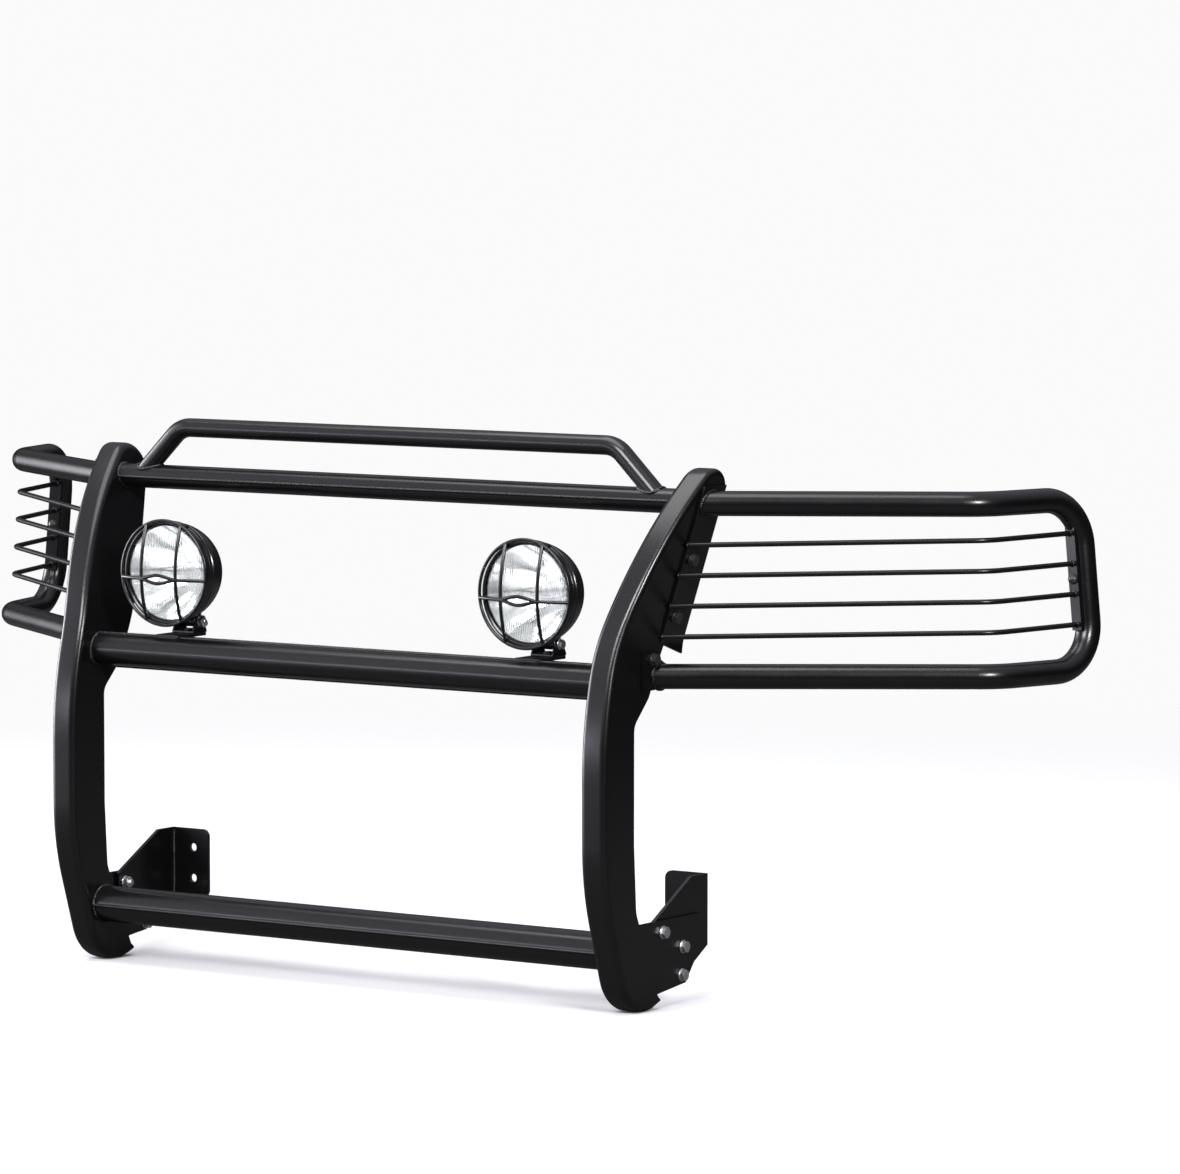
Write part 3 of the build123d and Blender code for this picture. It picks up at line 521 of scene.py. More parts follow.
def lathe(profile, steps=48):
    """A ring or a solid turned about Z from (radius, height) points; a first or last radius of 0 closes it."""
    shape = bmesh.new()
    verts = [shape.verts.new((r, 0, z)) for r, z in profile]
    edges = [shape.edges.new(pair) for pair in zip(verts, verts[1:])]
    bmesh.ops.spin(shape, geom=verts + edges, cent=(0, 0, 0), axis=(0, 0, 1), angle=2 * math.pi, steps=steps,
                   use_merge=True)
    bmesh.ops.remove_doubles(shape, verts=shape.verts, dist=1e-7)
    bmesh.ops.recalc_face_normals(shape, faces=shape.faces)
    return shape


def joined(*shapes):
    """Several shapes as one."""
    first, *others = shapes
    for other in others:
        mesh = bpy.data.meshes.new("part")
        other.to_mesh(mesh)
        other.free()
        first.from_mesh(mesh)
        bpy.data.meshes.remove(mesh)
    return first


def hexagon(flats, low, high, chamfer_low, chamfer_high):
    """A hex head or nut whose corners are chamfered at 30 degrees at one end or both."""
    round_off = flats / 2 * 0.97

    def fall(angle):
        return max(0.0, hexed(angle, flats) - round_off) * math.tan(math.radians(30))

    levels = []
    if chamfer_low:
        levels.append((lambda a: round_off, lambda a: low))
    levels.append((lambda a: hexed(a, flats), lambda a: low + (fall(a) if chamfer_low else 0.0)))
    levels.append((lambda a: hexed(a, flats), lambda a: high - (fall(a) if chamfer_high else 0.0)))
    if chamfer_high:
        levels.append((lambda a: round_off, lambda a: high))
    return rings(levels, HEX_STEPS)


def threaded(size, low, high, thread_top):
    """A shank whose lower part is threaded, with a small lead-in chamfer at its end."""
    r, depth = size["shank"] / 2, size["pitch"] * 0.55
    profile = [(0, low), (r - depth, low)]
    z = low + size["pitch"] * 0.5
    while z < thread_top:
        profile += [(r, z), (r - depth, z + size["pitch"] * 0.5)]
        z += size["pitch"]
    return lathe(profile + [(r, z), (r, high), (0, high)], 32)


def washer_ring(size, low):
    """A flat washer with rounded rims."""
    inner, outer, wall, ease = size["shank"] / 2 + 0.0002, size["washer"], size["wall"], 0.0004
    return lathe([(inner, low), (outer - ease, low), (outer, low + ease), (outer, low + wall - ease),
                  (outer - ease, low + wall), (inner + ease, low + wall), (inner, low + wall - ease),
                  (inner, low)])


def solids(node):
    """The points, middle and main axes of each solid of a node, longest axis first."""
    shape = merged(node)
    found = []
    for verts in connected(list(shape.verts)):
        points = numpy.array([v.co for v in verts])
        middle = (points.max(axis=0) + points.min(axis=0)) / 2
        found.append((points, middle, numpy.linalg.svd(points - points.mean(axis=0), full_matrices=False)[2]))
    shape.free()
    return found


def on_axes(node, long):
    """The matrix of each solid's axis, pointing outboard, forwards or up, and its ends along it.

    long is true of bolts, whose axis is their longest, and false of nuts and washers.
    """
    places = []
    for points, middle, axes in solids(node):
        axis = Vector(axes[0] if long else axes[2])
        outboard = Vector((math.copysign(1.0, middle[0]), 0, 0))
        if abs(axis.z) > 0.8:
            outboard = Vector((0, 0, 1))
        if abs(axis.y) > 0.5 and abs(axis.dot(outboard)) < 0.6:
            outboard = Vector((0, -1, 0))
        if axis.dot(outboard) < 0:
            axis.negate()
        centre = Vector(points.mean(axis=0))
        along = [(Vector(p) - centre).dot(axis) for p in points]
        ends = min(along), max(along)
        turn = axis.to_track_quat("Z", "Y").to_matrix().to_4x4()
        places.append((Matrix.Translation(centre) @ turn, *ends))
    return places


def fitted(node, long, build, name, material, body, finish):
    """Replaces every solid of a fastener node with a finished one on the same axis, turned a little at random."""
    shapes = []
    for matrix, low, high in on_axes(node, long):
        shape = build(low, high)
        spin = Matrix.Rotation(chance.uniform(0, math.pi / 3), 4, "Z")
        bmesh.ops.transform(shape, matrix=matrix @ spin, verts=shape.verts)
        shapes.append(shape)
    return piece(name, joined(*shapes), material, body, finish, node, smooth=30.0)


def hex_bolt(size):
    """How to build a bolt of a size between two ends: head, washer face and threaded shank."""
    def build(low, high):
        seat, face_radius = high - size["head"], size["flats"] * 0.47
        face = lathe([(0, seat - 0.0002), (face_radius, seat - 0.0002), (face_radius, seat + 0.0004),
                      (0, seat + 0.0004)])
        return joined(hexagon(size["flats"], seat + 0.0002, high, False, True), face,
                      threaded(size, low, seat, low + size["nut"] + 0.008))
    return build


def hex_nut(size):
    """How to build a nut of a size between two ends."""
    return lambda low, high: hexagon(size["flats"], low, high, True, True)


def flat_washer(size):
    """How to build a washer of a size from its lower end."""
    return lambda low, high: washer_ring(size, low)


for place, metal, finish in (("bracket", ZINC, "zinc_plate"), ("wing", OXIDE, "black_oxide")):
    fitted(place + "_bolts", True, hex_bolt(M10), place + "_hex_bolts", metal, "guard", finish)
    fitted(place + "_nuts", False, hex_nut(M10), place + "_hex_nuts", metal, "guard", finish)
    fitted(place + "_washers", False, flat_washer(M10), place + "_flat_washers", metal, "guard", finish)


def strip_stud(low, high):
    """A low dome-headed screw that ties the outer strip to the tube behind it."""
    seat, head_radius = high - 0.0075, 0.0083
    dome = [(0, high), (0.003, high - 0.0004), (0.006, high - 0.0022), (0.0078, high - 0.0050), (head_radius, seat)]
    dome += [(head_radius, seat - 0.0001), (0, seat - 0.0001)]
    return joined(lathe(dome, 40), threaded(M8, low, seat, low))


fitted("wing_strip_studs", True, strip_stud, "wing_dome_screws", OXIDE, "guard", "black_oxide")

# ---- Lamp mounts ----
# A steel tab with a saddle is welded on the lamp bar. The lamp's folded bracket turns on a stud through it, and
# a cross bolt through the lamp's lug holds its tilt.
LAMPS = {side: (side + "_lamp_head", side + "_lamp_foot") for side in SIDES}
piece("lamp_tab_pair", eased("lamp_tabs", 0.0008), POWDER, "guard", "powder_black", "lamp_tabs")
tab_low, tab_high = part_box("lamp_tabs")
lamp_bar_radius = (lamp_bar_high.z - lamp_bar_low.z) / 2
lamp_bar_y = (lamp_bar_high.y + lamp_bar_low.y) / 2
lamp_bar_z = (lamp_bar_high.z + lamp_bar_low.z) / 2
TAB_WIDTH = 0.045
saddle_half = math.sqrt(lamp_bar_radius ** 2 - (tab_low.z - lamp_bar_z) ** 2)
tab_welds = []
for way in SIDES.values():
    for y in (lamp_bar_y + saddle_half, max(lamp_bar_y - saddle_half, tab_low.y + 0.001)):
        z = lamp_bar_z + math.sqrt(max(0.0, lamp_bar_radius ** 2 - (y - lamp_bar_y) ** 2))
        tab_welds.append([(way * (tab_high.x - TAB_WIDTH + 0.003), y, min(z, tab_low.z) + 0.0002),
                          (way * (tab_high.x - 0.003), y, min(z, tab_low.z) + 0.0002)])
beads("lamp_tab_welds", tab_welds, 0.0018, closed=False)
PAN_HEAD = 0.0030               # height of the stud's head


def pan_stud(low, high):
    """A low-headed stud, threaded at its lower end."""
    head = lathe([(0, high), (0.0060, high), (0.0084, high - 0.0009), (0.0090, high - 0.0020),
                  (0.0090, high - PAN_HEAD), (0, high - PAN_HEAD)])
    return joined(head, threaded(M10, low, high - PAN_HEAD, low + 0.014))


def flanged_nut(low, high):
    """A nut with a washer formed on its upper end."""
    return joined(hexagon(M10["flats"], low, high - M10["wall"], True, False), washer_ring(M10, high - M10["wall"]))


fitted("lamp_mount_studs", True, pan_stud, "lamp_pan_studs", OXIDE, "guard", "black_oxide")
fitted("lamp_mount_nuts", False, flanged_nut, "lamp_pan_nuts", ZINC, "guard", "zinc_plate")
for side, (head, foot) in LAMPS.items():
    piece(side + "_lamp_clevis", eased(side + "_lamp_bracket", 0.0005), POWDER, foot, "powder_black",
          side + "_lamp_bracket")
    fitted(side + "_lamp_tilt_bolt", True, hex_bolt(M8), side + "_tilt_bolt", ZINC, foot, "zinc_plate")
    fitted(side + "_lamp_tilt_nut", False, hex_nut(M8), side + "_tilt_nut", ZINC, foot, "zinc_plate")
    fitted(side + "_lamp_tilt_washers", False, flat_washer(M8), side + "_tilt_washers", ZINC, foot, "zinc_plate")

# ---- Lamp bodies ----
# A deep-drawn steel bowl sprayed gloss black, with a welded pivot lug below and a rubber gland for the lead behind.
# The rolled rim clamps the lens on its gasket and is pulled up by one screw underneath.
SHELL_BLACK = coated("lamp_black", (0.010, 0.010, 0.011), (0.008, 0.008, 0.009), 0.20, 0.08, 0.0022, dust=0.08)
RUBBER = coated("black_rubber", (0.018, 0.018, 0.018), (0.026, 0.026, 0.026), 0.62, 0.25, 0.0006, dust=0.12)
rim_low, rim_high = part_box("right_lamp_rim")
RIM_LIP = 0.002
LAMP = Vector(((rim_low.x + rim_high.x) / 2, rim_low.y + RIM_LIP, (rim_low.z + rim_high.z) / 2))
RIM_RADIUS = (rim_high.x - rim_low.x) / 2
RIM_DEPTH = rim_high.y - LAMP.y
SHELL_RADIUS = RIM_RADIUS - 0.002
SHELL_WALL = 0.0025
SHELL_DEPTH = 0.088
LENS_RADIUS = 0.075
SHELL_SHOULDER, SHELL_BACK = (0.066, 0.058), 0.034
tilt_low, tilt_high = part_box("right_lamp_tilt_washers")
TILT = Vector((LAMP.x, (tilt_low.y + tilt_high.y) / 2, (tilt_low.z + tilt_high.z) / 2))
LUG_RADIUS = 0.009
clevis_low, clevis_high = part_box("right_lamp_bracket")
CLEVIS_WALL, CLEVIS_GAP = 0.003, 0.0002
LUG_HALF = (clevis_high.x - clevis_low.x) / 2 - CLEVIS_WALL - CLEVIS_GAP
LUG_BORE = 0.0042


def through(a, b, c, steps):
    """Points on the arc through three points, without its first."""
    ax, ay, bx, by, cx, cy = *a, *b, *c
    d = 2 * (ax * (by - cy) + bx * (cy - ay) + cx * (ay - by))
    ux = ((ax * ax + ay * ay) * (by - cy) + (bx * bx + by * by) * (cy - ay) + (cx * cx + cy * cy) * (ay - by)) / d
    uy = ((ax * ax + ay * ay) * (cx - bx) + (bx * bx + by * by) * (ax - cx) + (cx * cx + cy * cy) * (bx - ax)) / d
    start, end = math.atan2(ay - uy, ax - ux), math.atan2(cy - uy, cx - ux)
    return arc((ux, uy), math.hypot(ax - ux, ay - uy), start, end, steps)[1:]


def about_lens(profile, steps=96):
    """A piece of the right-hand lamp turned about the lens's axis, from (radius, depth) points."""
    shape = lathe(profile, steps)
    bmesh.ops.transform(shape, matrix=Matrix.Translation(LAMP) @ Matrix.Rotation(-math.pi / 2, 4, "X"),
                        verts=shape.verts)
    return shape


def lamp_pair(name, shape, material, finish, *nodes, smooth=38.0):
    """The piece on both lamps."""
    left = flipped(shape)
    for side, form in (("right", shape), ("left", left)):
        piece(side + "_" + name, form, material, LAMPS[side][0], finish, *[side + "_" + n for n in nodes],
              smooth=smooth)


SHELL_FRONT = 0.0085
bowl = [(SHELL_RADIUS, SHELL_FRONT), (SHELL_RADIUS, RIM_DEPTH + 0.0015), (SHELL_RADIUS + 0.0012, RIM_DEPTH + 0.003),
        (SHELL_RADIUS - 0.0002, RIM_DEPTH + 0.0052)]
bowl += through(bowl[-1], SHELL_SHOULDER, (SHELL_BACK, SHELL_DEPTH - 0.001), 26)
bowl += [(SHELL_BACK - 0.002, SHELL_DEPTH - 0.0002), (0.024, SHELL_DEPTH), (0.0225, SHELL_DEPTH - 0.0012),
         (0, SHELL_DEPTH - 0.0012)]
inner = [(0, SHELL_DEPTH - 0.0035), (SHELL_BACK - 0.002, SHELL_DEPTH - 0.0035)]
inner += through(inner[-1], (SHELL_SHOULDER[0] - 0.0022, SHELL_SHOULDER[1] - 0.0012),
                 (SHELL_RADIUS - SHELL_WALL, RIM_DEPTH + 0.004), 20)
inner += [(SHELL_RADIUS - SHELL_WALL, SHELL_FRONT), (SHELL_RADIUS, SHELL_FRONT)]
shell = about_lens(bowl + inner)
lug = lathe([(LUG_BORE, -LUG_HALF), (LUG_RADIUS - 0.0008, -LUG_HALF), (LUG_RADIUS, -LUG_HALF + 0.0008),
             (LUG_RADIUS, LUG_HALF - 0.0008), (LUG_RADIUS - 0.0008, LUG_HALF), (LUG_BORE, LUG_HALF),
             (LUG_BORE, -LUG_HALF)], 40)
bmesh.ops.transform(lug, matrix=Matrix.Translation(TILT) @ Matrix.Rotation(math.pi / 2, 4, "Y"), verts=lug.verts)
neck = bmesh.new()
bmesh.ops.create_cube(neck, size=1.0)
bmesh.ops.scale(neck, vec=(2 * LUG_HALF - 0.002, 2 * LUG_RADIUS - 0.002, 0.020), verts=neck.verts)
for vertex in neck.verts:
    if vertex.co.z > 0:
        vertex.co.y *= 1.7
bmesh.ops.translate(neck, vec=TILT + Vector((0, 0.001, 0.0135)), verts=neck.verts)
soften(neck, 0.002, 60, 3)
lamp_pair("lamp_shell", joined(shell, lug, neck), SHELL_BLACK, "lamp_black", "lamp_housing")

RIM_ROLL = 0.0030
lip = [(LENS_RADIUS, 0.0), (LENS_RADIUS - 0.0001, -0.0006)]
lip += [(LENS_RADIUS + 0.0022, -RIM_LIP), (RIM_RADIUS - RIM_ROLL, -RIM_LIP)]
lip += arc((RIM_RADIUS - RIM_ROLL, -RIM_LIP + RIM_ROLL), RIM_ROLL, -math.pi / 2, 0, 6)[1:]
lip += [(RIM_RADIUS, 0.0062), (RIM_RADIUS - 0.0007, 0.0069), (RIM_RADIUS - 0.0007, 0.0085), (RIM_RADIUS, 0.0092),
        (RIM_RADIUS, RIM_DEPTH - 0.0012), (RIM_RADIUS - 0.0008, RIM_DEPTH), (SHELL_RADIUS + 0.0002, RIM_DEPTH),
        (SHELL_RADIUS + 0.0002, 0.0), (LENS_RADIUS, 0.0)]
lamp_pair("lamp_bezel", about_lens(lip), SHELL_BLACK, "lamp_black", "lamp_rim")

screw_low, screw_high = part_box("right_lamp_rim_screw")
screw_x, screw_y = (screw_low.x + screw_high.x) / 2, (screw_low.y + screw_high.y) / 2
screw_length = screw_high.z - screw_low.z
pan = [(0, 0.0), (0.0012, 0.0), (0.0026, 0.0002), (0.0036, 0.0009), (0.0040, 0.0020), (0.0038, 0.0023),
       (0.0019, 0.0023), (0.0019, screw_length), (0, screw_length)]
screw = lathe(pan, 32)
for turn in (0.0, math.pi / 2):
    slot_box = bmesh.ops.create_cube(screw, size=1.0)["verts"]
    bmesh.ops.scale(screw, vec=(0.0040, 0.0008, 0.0004), verts=slot_box)
    bmesh.ops.rotate(screw, cent=(0, 0, 0), matrix=Matrix.Rotation(turn, 3, "Z"), verts=slot_box)
bmesh.ops.translate(screw, vec=(screw_x, screw_y, screw_low.z), verts=screw.verts)
lamp_pair("rim_screw", screw, ZINC, "zinc_plate", "lamp_rim_screw")

GASKET_FRONT, GASKET_BACK = 0.004, 0.0065
lamp_pair("gasket", about_lens([(LENS_RADIUS - 0.001, GASKET_FRONT), (SHELL_RADIUS, GASKET_FRONT),
                                (SHELL_RADIUS, GASKET_BACK), (LENS_RADIUS - 0.001, GASKET_BACK),
                                (LENS_RADIUS - 0.0016, (GASKET_FRONT + GASKET_BACK) / 2),
                                (LENS_RADIUS - 0.001, GASKET_FRONT)]), RUBBER, "black_rubber", "lamp_gasket")
gland_low, gland_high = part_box("right_lamp_gland")
gland_z = (gland_low.z + gland_high.z) / 2 - LAMP.z
grommet = lathe([(0.003, -0.0045), (0.007, -0.0045), (0.0072, -0.0036), (0.0070, -0.0026), (0.005, -0.0025),
                 (0.005, 0.0), (0.008, 0.0), (0.0081, 0.0012), (0.0074, 0.0020), (0.0074, 0.0028), (0.0070, 0.0034),
                 (0.0066, 0.0034), (0.0066, 0.0042), (0.0067, 0.0050), (0.0062, 0.0056), (0.0062, 0.0066),
                 (0.0056, 0.0070), (0.003, 0.0070), (0.003, -0.0045)], 40)
bmesh.ops.transform(grommet, matrix=Matrix.Translation(LAMP + Vector((0, SHELL_DEPTH, gland_z)))
                    @ Matrix.Rotation(-math.pi / 2, 4, "X"), verts=grommet.verts)
lamp_pair("gland_rubber", grommet, RUBBER, "black_rubber", "lamp_gland")

# ---- Lamp optics ----
# The reflector is a pressed steel parabola, lacquered and vacuum-coated with aluminium. The bulb stands in its neck,
# and the pressed glass lens is domed outside and fluted inside to spread the beam.
MOUTH_RADIUS, NECK_RADIUS, MOUTH_DEPTH, NECK_DEPTH = 0.073, 0.012, 0.0065, 0.0605
LENS_CROWN, LENS_WALL, LENS_EDGE, LENS_FLANGE = 0.007, 0.003, 0.0788, 0.004
FLUTES, FLUTE_DEPTH = 44, 0.00042
BLOCK_HEIGHT, BLOCK_DEPTH = 0.021, 0.00025
CENTRE_BAND = 0.022             # half-height of the band where the flutes are deepest
MIRROR_WALL = 0.0012
MIRROR, mirror_tree, mirror_shader = new_material("bright_reflector")
mirror_grain = put(mirror_tree, "ShaderNodeGroup", {"node_tree": GRAIN}, Size=0.006, Cloud=0.03, Low=0.05,
                   High=0.13)
mirror_bump = put(mirror_tree, "ShaderNodeBump", Strength=0.10, Distance=0.0004,
                  Height=mirror_grain.outputs["Height"])
mirror_tree.links.new(mirror_grain.outputs["Variation"], mirror_shader.inputs["Roughness"])
mirror_tree.links.new(mirror_bump.outputs["Normal"], mirror_shader.inputs["Normal"])
mirror_shader.inputs["Base Color"].default_value = (0.93, 0.94, 0.95, 1)
mirror_shader.inputs["Metallic"].default_value = 1.0


def glass(name, tint, roughness):
    """Clear pressed glass, with the faint waviness of the mould."""
    material, tree, shader = new_material(name)
    wave = put(tree, "ShaderNodeGroup", {"node_tree": GRAIN}, Size=0.012, Cloud=0.05, Low=roughness,
               High=roughness * 2)
    bump = put(tree, "ShaderNodeBump", Strength=0.05, Distance=0.0004, Height=wave.outputs["Height"])
    tree.links.new(bump.outputs["Normal"], shader.inputs["Normal"])
    tree.links.new(wave.outputs["Variation"], shader.inputs["Roughness"])
    shader.inputs["Base Color"].default_value = (*tint, 1)
    shader.inputs["Transmission Weight"].default_value = 1.0
    shader.inputs["IOR"].default_value = 1.50
    return material


LENS_GLASS = glass("lens_glass", (0.97, 0.98, 0.98), 0.02)
BULB_GLASS = glass("bulb_glass", (0.98, 0.98, 0.98), 0.01)


def dome_depth(radius, crown, span):
    """Depth of a shallow dome at a radius, from its edge."""
    sphere = (span ** 2 + crown ** 2) / (2 * crown)
    return -(math.sqrt(max(0.0, sphere ** 2 - radius ** 2)) - (sphere - crown))


focal = (MOUTH_RADIUS ** 2 - NECK_RADIUS ** 2) / (NECK_DEPTH - MOUTH_DEPTH)
parabola = [(r, MOUTH_DEPTH + (MOUTH_RADIUS ** 2 - r ** 2) / focal)
            for r in [MOUTH_RADIUS + (NECK_RADIUS - MOUTH_RADIUS) * i / 36 for i in range(37)]]
back = [(r, d + MIRROR_WALL) for r, d in reversed(parabola)]
seat_radius = SHELL_RADIUS - SHELL_WALL
reflector = about_lens([(seat_radius, MOUTH_DEPTH)] + parabola + back
                       + [(seat_radius, MOUTH_DEPTH + MIRROR_WALL), (seat_radius, MOUTH_DEPTH)], 128)
lamp_pair("mirror", reflector, MIRROR, "bright_reflector", "lamp_reflector")


def lens_face(crown, wall, fluted, span):
    """One face of the lens as a grid squeezed into a disc, so that its columns run straight up and down."""
    columns, rows = FLUTES * 6, 40
    shape = bmesh.new()
    bmesh.ops.create_grid(shape, x_segments=columns, y_segments=rows, size=1.0)
    for vertex in shape.verts:
        u, v = vertex.co.x, vertex.co.y
        x = span * math.sin(u * math.pi / 2 * 0.9999) if not fluted else span * u * 0.9999
        z = v * math.sqrt(max(0.0, span ** 2 - x ** 2))
        radius = math.hypot(x, z)
        edge = min(1.0, (span - radius) / 0.004)
        band = 1.0 if abs(z) < CENTRE_BAND else 0.45
        pattern = 0.0
        if fluted:
            pattern = FLUTE_DEPTH * band * edge * 0.5 * (1 - math.cos(2 * math.pi * FLUTES * (u + 1) / 2))
            if abs(z) > CENTRE_BAND:
                pattern += BLOCK_DEPTH * edge * math.cos(2 * math.pi * z / BLOCK_HEIGHT)
        vertex.co = (x, dome_depth(radius, crown, span) + wall + pattern, z)
    return shape


outside = lens_face(LENS_CROWN, 0.0, False, LENS_RADIUS)
inside = lens_face(LENS_CROWN, LENS_WALL, True, LENS_RADIUS - 0.0004)
for shape, turned_round in ((outside, False), (inside, True)):
    bmesh.ops.recalc_face_normals(shape, faces=shape.faces)
    centre = min(shape.faces, key=lambda f: f.calc_center_median().xz.length)
    if (centre.normal.y > 0) != turned_round:
        bmesh.ops.reverse_faces(shape, faces=shape.faces)
    bmesh.ops.translate(shape, vec=LAMP, verts=shape.verts)
flange = about_lens([(LENS_RADIUS - 0.0004, LENS_WALL), (LENS_RADIUS - 0.0002, LENS_FLANGE), (LENS_EDGE, LENS_FLANGE),
                     (LENS_EDGE, 0.0002), (LENS_RADIUS, 0.0)])
outermost = max(flange.faces, key=lambda f: (f.calc_center_median() - LAMP).xz.length)
if outermost.normal.dot(outermost.calc_center_median() - LAMP) < 0:
    bmesh.ops.reverse_faces(flange, faces=flange.faces)
lamp_pair("fluted_lens", joined(outside, inside, flange), LENS_GLASS, "lens_glass", "lamp_lens", smooth=80.0)

holder_low, holder_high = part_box("right_lamp_bulb_holder")
HOLDER = (holder_low.y + holder_high.y) / 2 - LAMP.y
cap = [(0, -0.012), (0.0062, -0.012), (0.007, -0.0112), (0.007, 0.0), (0.0142, 0.0), (0.015, 0.0008), (0.015, 0.003),
       (0.006, 0.003), (0.006, 0.0075), (0.0054, 0.0080), (0.0054, 0.0115), (0.005, 0.012), (0, 0.012)]
lamp_pair("bulb_cap", about_lens([(r, HOLDER + d) for r, d in cap], 48), ZINC, "zinc_plate", "lamp_bulb_holder")
BULB_RADIUS, BULB_REACH = 0.0055, 0.038
COIL_RADIUS, COIL_FRONT, COIL_LENGTH, COIL_TURNS = 0.0006, 0.010, 0.005, 12
COIL_WIRE, POST_WIRE = 0.00016, 0.0003
tip = HOLDER - BULB_REACH
bulb = [(BULB_RADIUS * math.sin(a), tip + BULB_RADIUS * (1 - math.cos(a))) for a in
        [math.pi / 2 * i / 10 for i in range(11)]]
bore = BULB_RADIUS - 0.001
bulb += [(BULB_RADIUS, HOLDER - 0.0125), (bore, HOLDER - 0.0125), (bore, tip + BULB_RADIUS)]
bulb += [(bore * math.cos(a), tip + BULB_RADIUS - bore * math.sin(a)) for a in
         [math.pi / 2 * i / 8 for i in range(1, 9)]]
lamp_pair("bulb_envelope", about_lens(bulb, 40), BULB_GLASS, "bulb_glass", "lamp_bulb")

filament = bmesh.new()
coil = [LAMP + Vector((COIL_RADIUS * math.cos(t), tip + COIL_FRONT + COIL_LENGTH * t / (COIL_TURNS * 2 * math.pi),
                       COIL_RADIUS * math.sin(t)))
        for t in [2 * math.pi * COIL_TURNS * i / 144 for i in range(145)]]
filament.from_mesh(swept(coil, COIL_WIRE, 1))
for x, end in ((-0.0016, COIL_FRONT), (0.0016, COIL_FRONT + COIL_LENGTH)):
    filament.from_mesh(swept([LAMP + Vector((0, tip + end, COIL_RADIUS)), LAMP + Vector((x, tip + end, COIL_RADIUS)),
                              LAMP + Vector((x, HOLDER - 0.013, 0.0))], POST_WIRE, 1))
lamp_pair("filament", filament, ZINC, "zinc_plate", smooth=80.0)

# ---- Stone guards ----
# Each is 5.6 mm wire: a ring, two bowed uprights and a bowed cross bar that parts into an eye over the bulb, with
# four flat legs that slip over the lamp's rim. It is spot-welded, then powder coated.
WIRE = 0.0028                   # half its thickness
guard_low, guard_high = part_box("right_lamp_stone_guard")
GUARD_RADIUS = (guard_high.x - guard_low.x) / 2 - WIRE
GUARD_DEPTH = -0.0055
GUARD_CROWN = 0.018
BAR_X = 0.0335
CROSS_Z = -0.009
EYE_HALF = 0.0065
LEG_END, LEG_WIDTH, LEG_WALL = 0.011, 0.009, 0.0025


def on_dome(x, z):
    """The point of the guard's dome in front of a place on the lens."""
    return LAMP + Vector((x, GUARD_DEPTH - GUARD_CROWN * (1 - (x * x + z * z) / GUARD_RADIUS ** 2), z))


def dome_line(start, end, bow=0.0, steps=32):
    """Points over the guard's dome from one place to another, bowed up or down on the way."""
    line = []
    for i in range(steps + 1):
        t = i / steps
        line.append(on_dome(start[0] + (end[0] - start[0]) * t,
                            start[1] + (end[1] - start[1]) * t + bow * 0.5 * (1 - math.cos(2 * math.pi * t))))
    return line


cage = bmesh.new()
cage.from_mesh(swept([on_dome(GUARD_RADIUS * math.cos(a), GUARD_RADIUS * math.sin(a)) for a in
                      [2 * math.pi * i / 120 for i in range(120)]], WIRE, 3, closed=True))
bar_top = math.sqrt(GUARD_RADIUS ** 2 - BAR_X ** 2)
cross_end = math.sqrt(GUARD_RADIUS ** 2 - CROSS_Z ** 2)
EYE_END = BAR_X + 0.005
for way in (-1, 1):
    cage.from_mesh(swept(dome_line((way * BAR_X, -bar_top), (way * BAR_X, bar_top)), WIRE, 3))
    cage.from_mesh(swept(dome_line((way * EYE_END, CROSS_Z), (way * cross_end, CROSS_Z)), WIRE, 3))
    cage.from_mesh(swept(dome_line((-EYE_END, CROSS_Z), (EYE_END, CROSS_Z), way * EYE_HALF), WIRE, 3))
cage_legs = []
for x in (-BAR_X, BAR_X):
    for up in (-1, 1):
        leg = bmesh.new()
        bmesh.ops.create_cube(leg, size=1.0)
        bmesh.ops.scale(leg, vec=(LEG_WALL, LEG_END - GUARD_DEPTH, LEG_WIDTH), verts=leg.verts)
        soften(leg, 0.0007, 60, 2)
        turn = Matrix.Rotation(-math.atan2(up * bar_top, x), 4, "Y")
        bmesh.ops.transform(leg, matrix=Matrix.Translation(LAMP) @ turn @ Matrix.Translation(
            (RIM_RADIUS + LEG_WALL / 2, (LEG_END + GUARD_DEPTH) / 2, 0)), verts=leg.verts)
        cage_legs.append(leg)
lamp_pair("stone_cage", joined(cage, *cage_legs), POWDER, "guard_black", "lamp_stone_guard", smooth=50.0)

# ---- Camera, lights and floor ----
# The guard stands on a pale studio floor that clears into a pale backdrop further out. For reflections the room is
# brightest to the left, the front left and overhead, and dark elsewhere, so that the black paint shows its shape.
camera_data = bpy.data.cameras.new("camera")
camera_data.sensor_width = 36.0
camera_data.lens = 189.2
camera_data.clip_end = 100.0
camera = bpy.data.objects.new("camera", camera_data)
camera.location = (5.607, -7.886, 1.297)
camera.rotation_euler = (math.radians(90.0 - 4.897), 0.0, math.radians(33.95))
bpy.context.collection.objects.link(camera)
bpy.context.scene.camera = camera
bpy.context.scene.view_settings.view_transform = "Standard"

BACKDROP = (0.96, 0.96, 0.965)
FLOOR_TONE = (0.86, 0.86, 0.87)
FLOOR_SEEN = 0.10               # the floor's colour in the paint's reflections
FLOOR_NEAR, FLOOR_FAR = 1.3, 4.5    # where the floor starts to clear, and is clear
LENS_SHARE = 0.4                # how far each pass through the lamps' glass brings back the pale room
floor_mesh = bpy.data.meshes.new("floor")
floor_shape = bmesh.new()
bmesh.ops.create_grid(floor_shape, x_segments=1, y_segments=1, size=40.0)
bmesh.ops.translate(floor_shape, vec=(0, 0, cad_low.z), verts=floor_shape.verts)
floor_shape.to_mesh(floor_mesh)
floor_shape.free()
floor = bpy.data.objects.new("floor", floor_mesh)
bpy.context.collection.objects.link(floor)


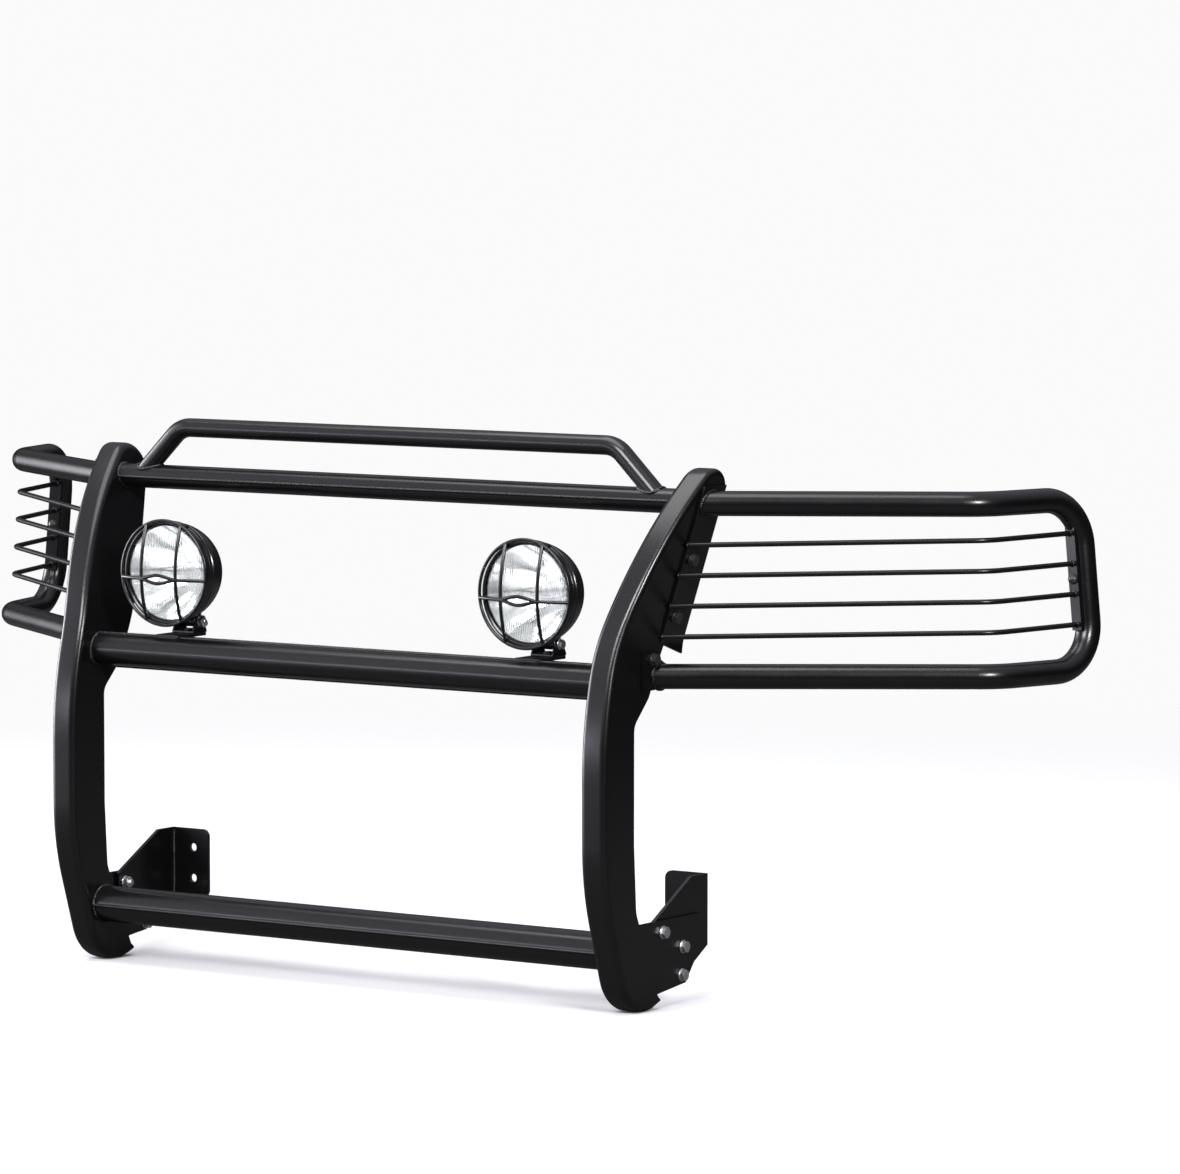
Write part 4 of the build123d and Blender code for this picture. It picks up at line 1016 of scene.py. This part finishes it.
def pale_share(tree):
    """How pale a ray finds the room: fully from the camera, and more with each pass through the lamps' glass."""
    rays = put(tree, "ShaderNodeLightPath")
    lens = put(tree, "ShaderNodeMath", {"operation": "MULTIPLY", "use_clamp": True},
               i0=rays.outputs["Transmission Depth"], i1=LENS_SHARE)
    most = put(tree, "ShaderNodeMath", {"operation": "MAXIMUM"}, i0=rays.outputs["Is Camera Ray"],
               i1=lens.outputs["Value"])
    return most.outputs["Value"]


floor_material, floor_tree, floor_shader = new_material("pale_floor")
floor_tone = put(floor_tree, "ShaderNodeMix", {"data_type": "RGBA"}, Factor=pale_share(floor_tree))
floor_tone.inputs[6].default_value = (FLOOR_SEEN, FLOOR_SEEN, FLOOR_SEEN, 1)
floor_tone.inputs[7].default_value = (*FLOOR_TONE, 1)
floor_tree.links.new(floor_tone.outputs[2], floor_shader.inputs["Base Color"])
floor_shader.inputs["Roughness"].default_value = 0.8
floor_shader.inputs["Specular IOR Level"].default_value = 0.0
floor_place = put(floor_tree, "ShaderNodeTexCoord")
floor_reach = put(floor_tree, "ShaderNodeVectorMath", {"operation": "LENGTH"}, i0=floor_place.outputs["Object"])
floor_far = put(floor_tree, "ShaderNodeMapRange", {"interpolation_type": "SMOOTHERSTEP"},
                i0=floor_reach.outputs["Value"], i1=FLOOR_NEAR, i2=FLOOR_FAR, i3=0.0, i4=1.0)
clear = put(floor_tree, "ShaderNodeBsdfTransparent")
floor_mix = put(floor_tree, "ShaderNodeMixShader", Fac=floor_far.outputs["Result"])
floor_tree.links.new(floor_shader.outputs["BSDF"], floor_mix.inputs[1])
floor_tree.links.new(clear.outputs["BSDF"], floor_mix.inputs[2])
floor_tree.links.new(floor_mix.outputs["Shader"], floor_tree.nodes["Material Output"].inputs["Surface"])
floor_mesh.materials.append(floor_material)

world = bpy.data.worlds.new("studio")
bpy.context.scene.world = world
world.use_nodes = True
sky = world.node_tree
background = sky.nodes["Background"]
way_out = put(sky, "ShaderNodeTexCoord")


def lit_patch(direction, edge, strength):
    """A soft patch of light round a direction. edge is the cosine of its half-width."""
    facing = put(sky, "ShaderNodeVectorMath", {"operation": "DOT_PRODUCT"}, i0=way_out.outputs["Generated"],
                 i1=direction)
    patch = put(sky, "ShaderNodeMapRange", {"interpolation_type": "SMOOTHSTEP"}, i0=facing.outputs["Value"],
                i1=edge, i2=1.0, i3=0.0, i4=strength)
    return patch.outputs["Result"]


height = put(sky, "ShaderNodeSeparateXYZ", i0=way_out.outputs["Generated"])
overhead = put(sky, "ShaderNodeMapRange", i0=height.outputs["Z"], i1=0.2, i2=1.0, i3=0.02, i4=0.8)
front = put(sky, "ShaderNodeMath", {"operation": "ADD"}, i0=lit_patch((-0.62, -0.78, 0.05), 0.55, 0.60),
            i1=lit_patch((-0.96, -0.26, 0.05), 0.82, 4.0))
glow = put(sky, "ShaderNodeMath", {"operation": "ADD"}, i0=front.outputs["Value"], i1=overhead.outputs["Result"])
tint = put(sky, "ShaderNodeVectorMath", {"operation": "SCALE"}, i0=(0.95, 0.95, 1.06))
sky.links.new(glow.outputs["Value"], tint.inputs["Scale"])
seen = put(sky, "ShaderNodeMix", {"data_type": "RGBA"}, Factor=pale_share(sky), i6=tint.outputs[0])
seen.inputs[7].default_value = (*BACKDROP, 1)
sky.links.new(seen.outputs[2], background.inputs["Color"])
background.inputs["Strength"].default_value = 1.0
middle = (cad_low + cad_high) / 2


def softbox(name, place, width, height, power, colour=(1, 1, 1)):
    """A rectangular studio light aimed at the middle of the guard."""
    data = bpy.data.lights.new(name, "AREA")
    data.shape = "RECTANGLE"
    data.size = width
    data.size_y = height
    data.energy = power
    data.color = colour
    light = bpy.data.objects.new(name, data)
    light.location = place
    light.rotation_euler = (middle - Vector(place)).to_track_quat("-Z", "Y").to_euler()
    bpy.context.collection.objects.link(light)


softbox("top_light", (-0.5, -1.0, 5.0), 5.0, 3.0, 170)
softbox("left_light", (-6.0, -0.6, 1.0), 2.0, 2.6, 150)
softbox("lens_light", (0.8, -6.5, 4.6), 3.6, 2.0, 420)
softbox("right_light", (5.5, -3.0, 2.8), 1.2, 1.2, 260)
softbox("front_light", (-4.2, -6.2, 0.7), 1.8, 0.5, 22, (0.88, 0.90, 1.0))
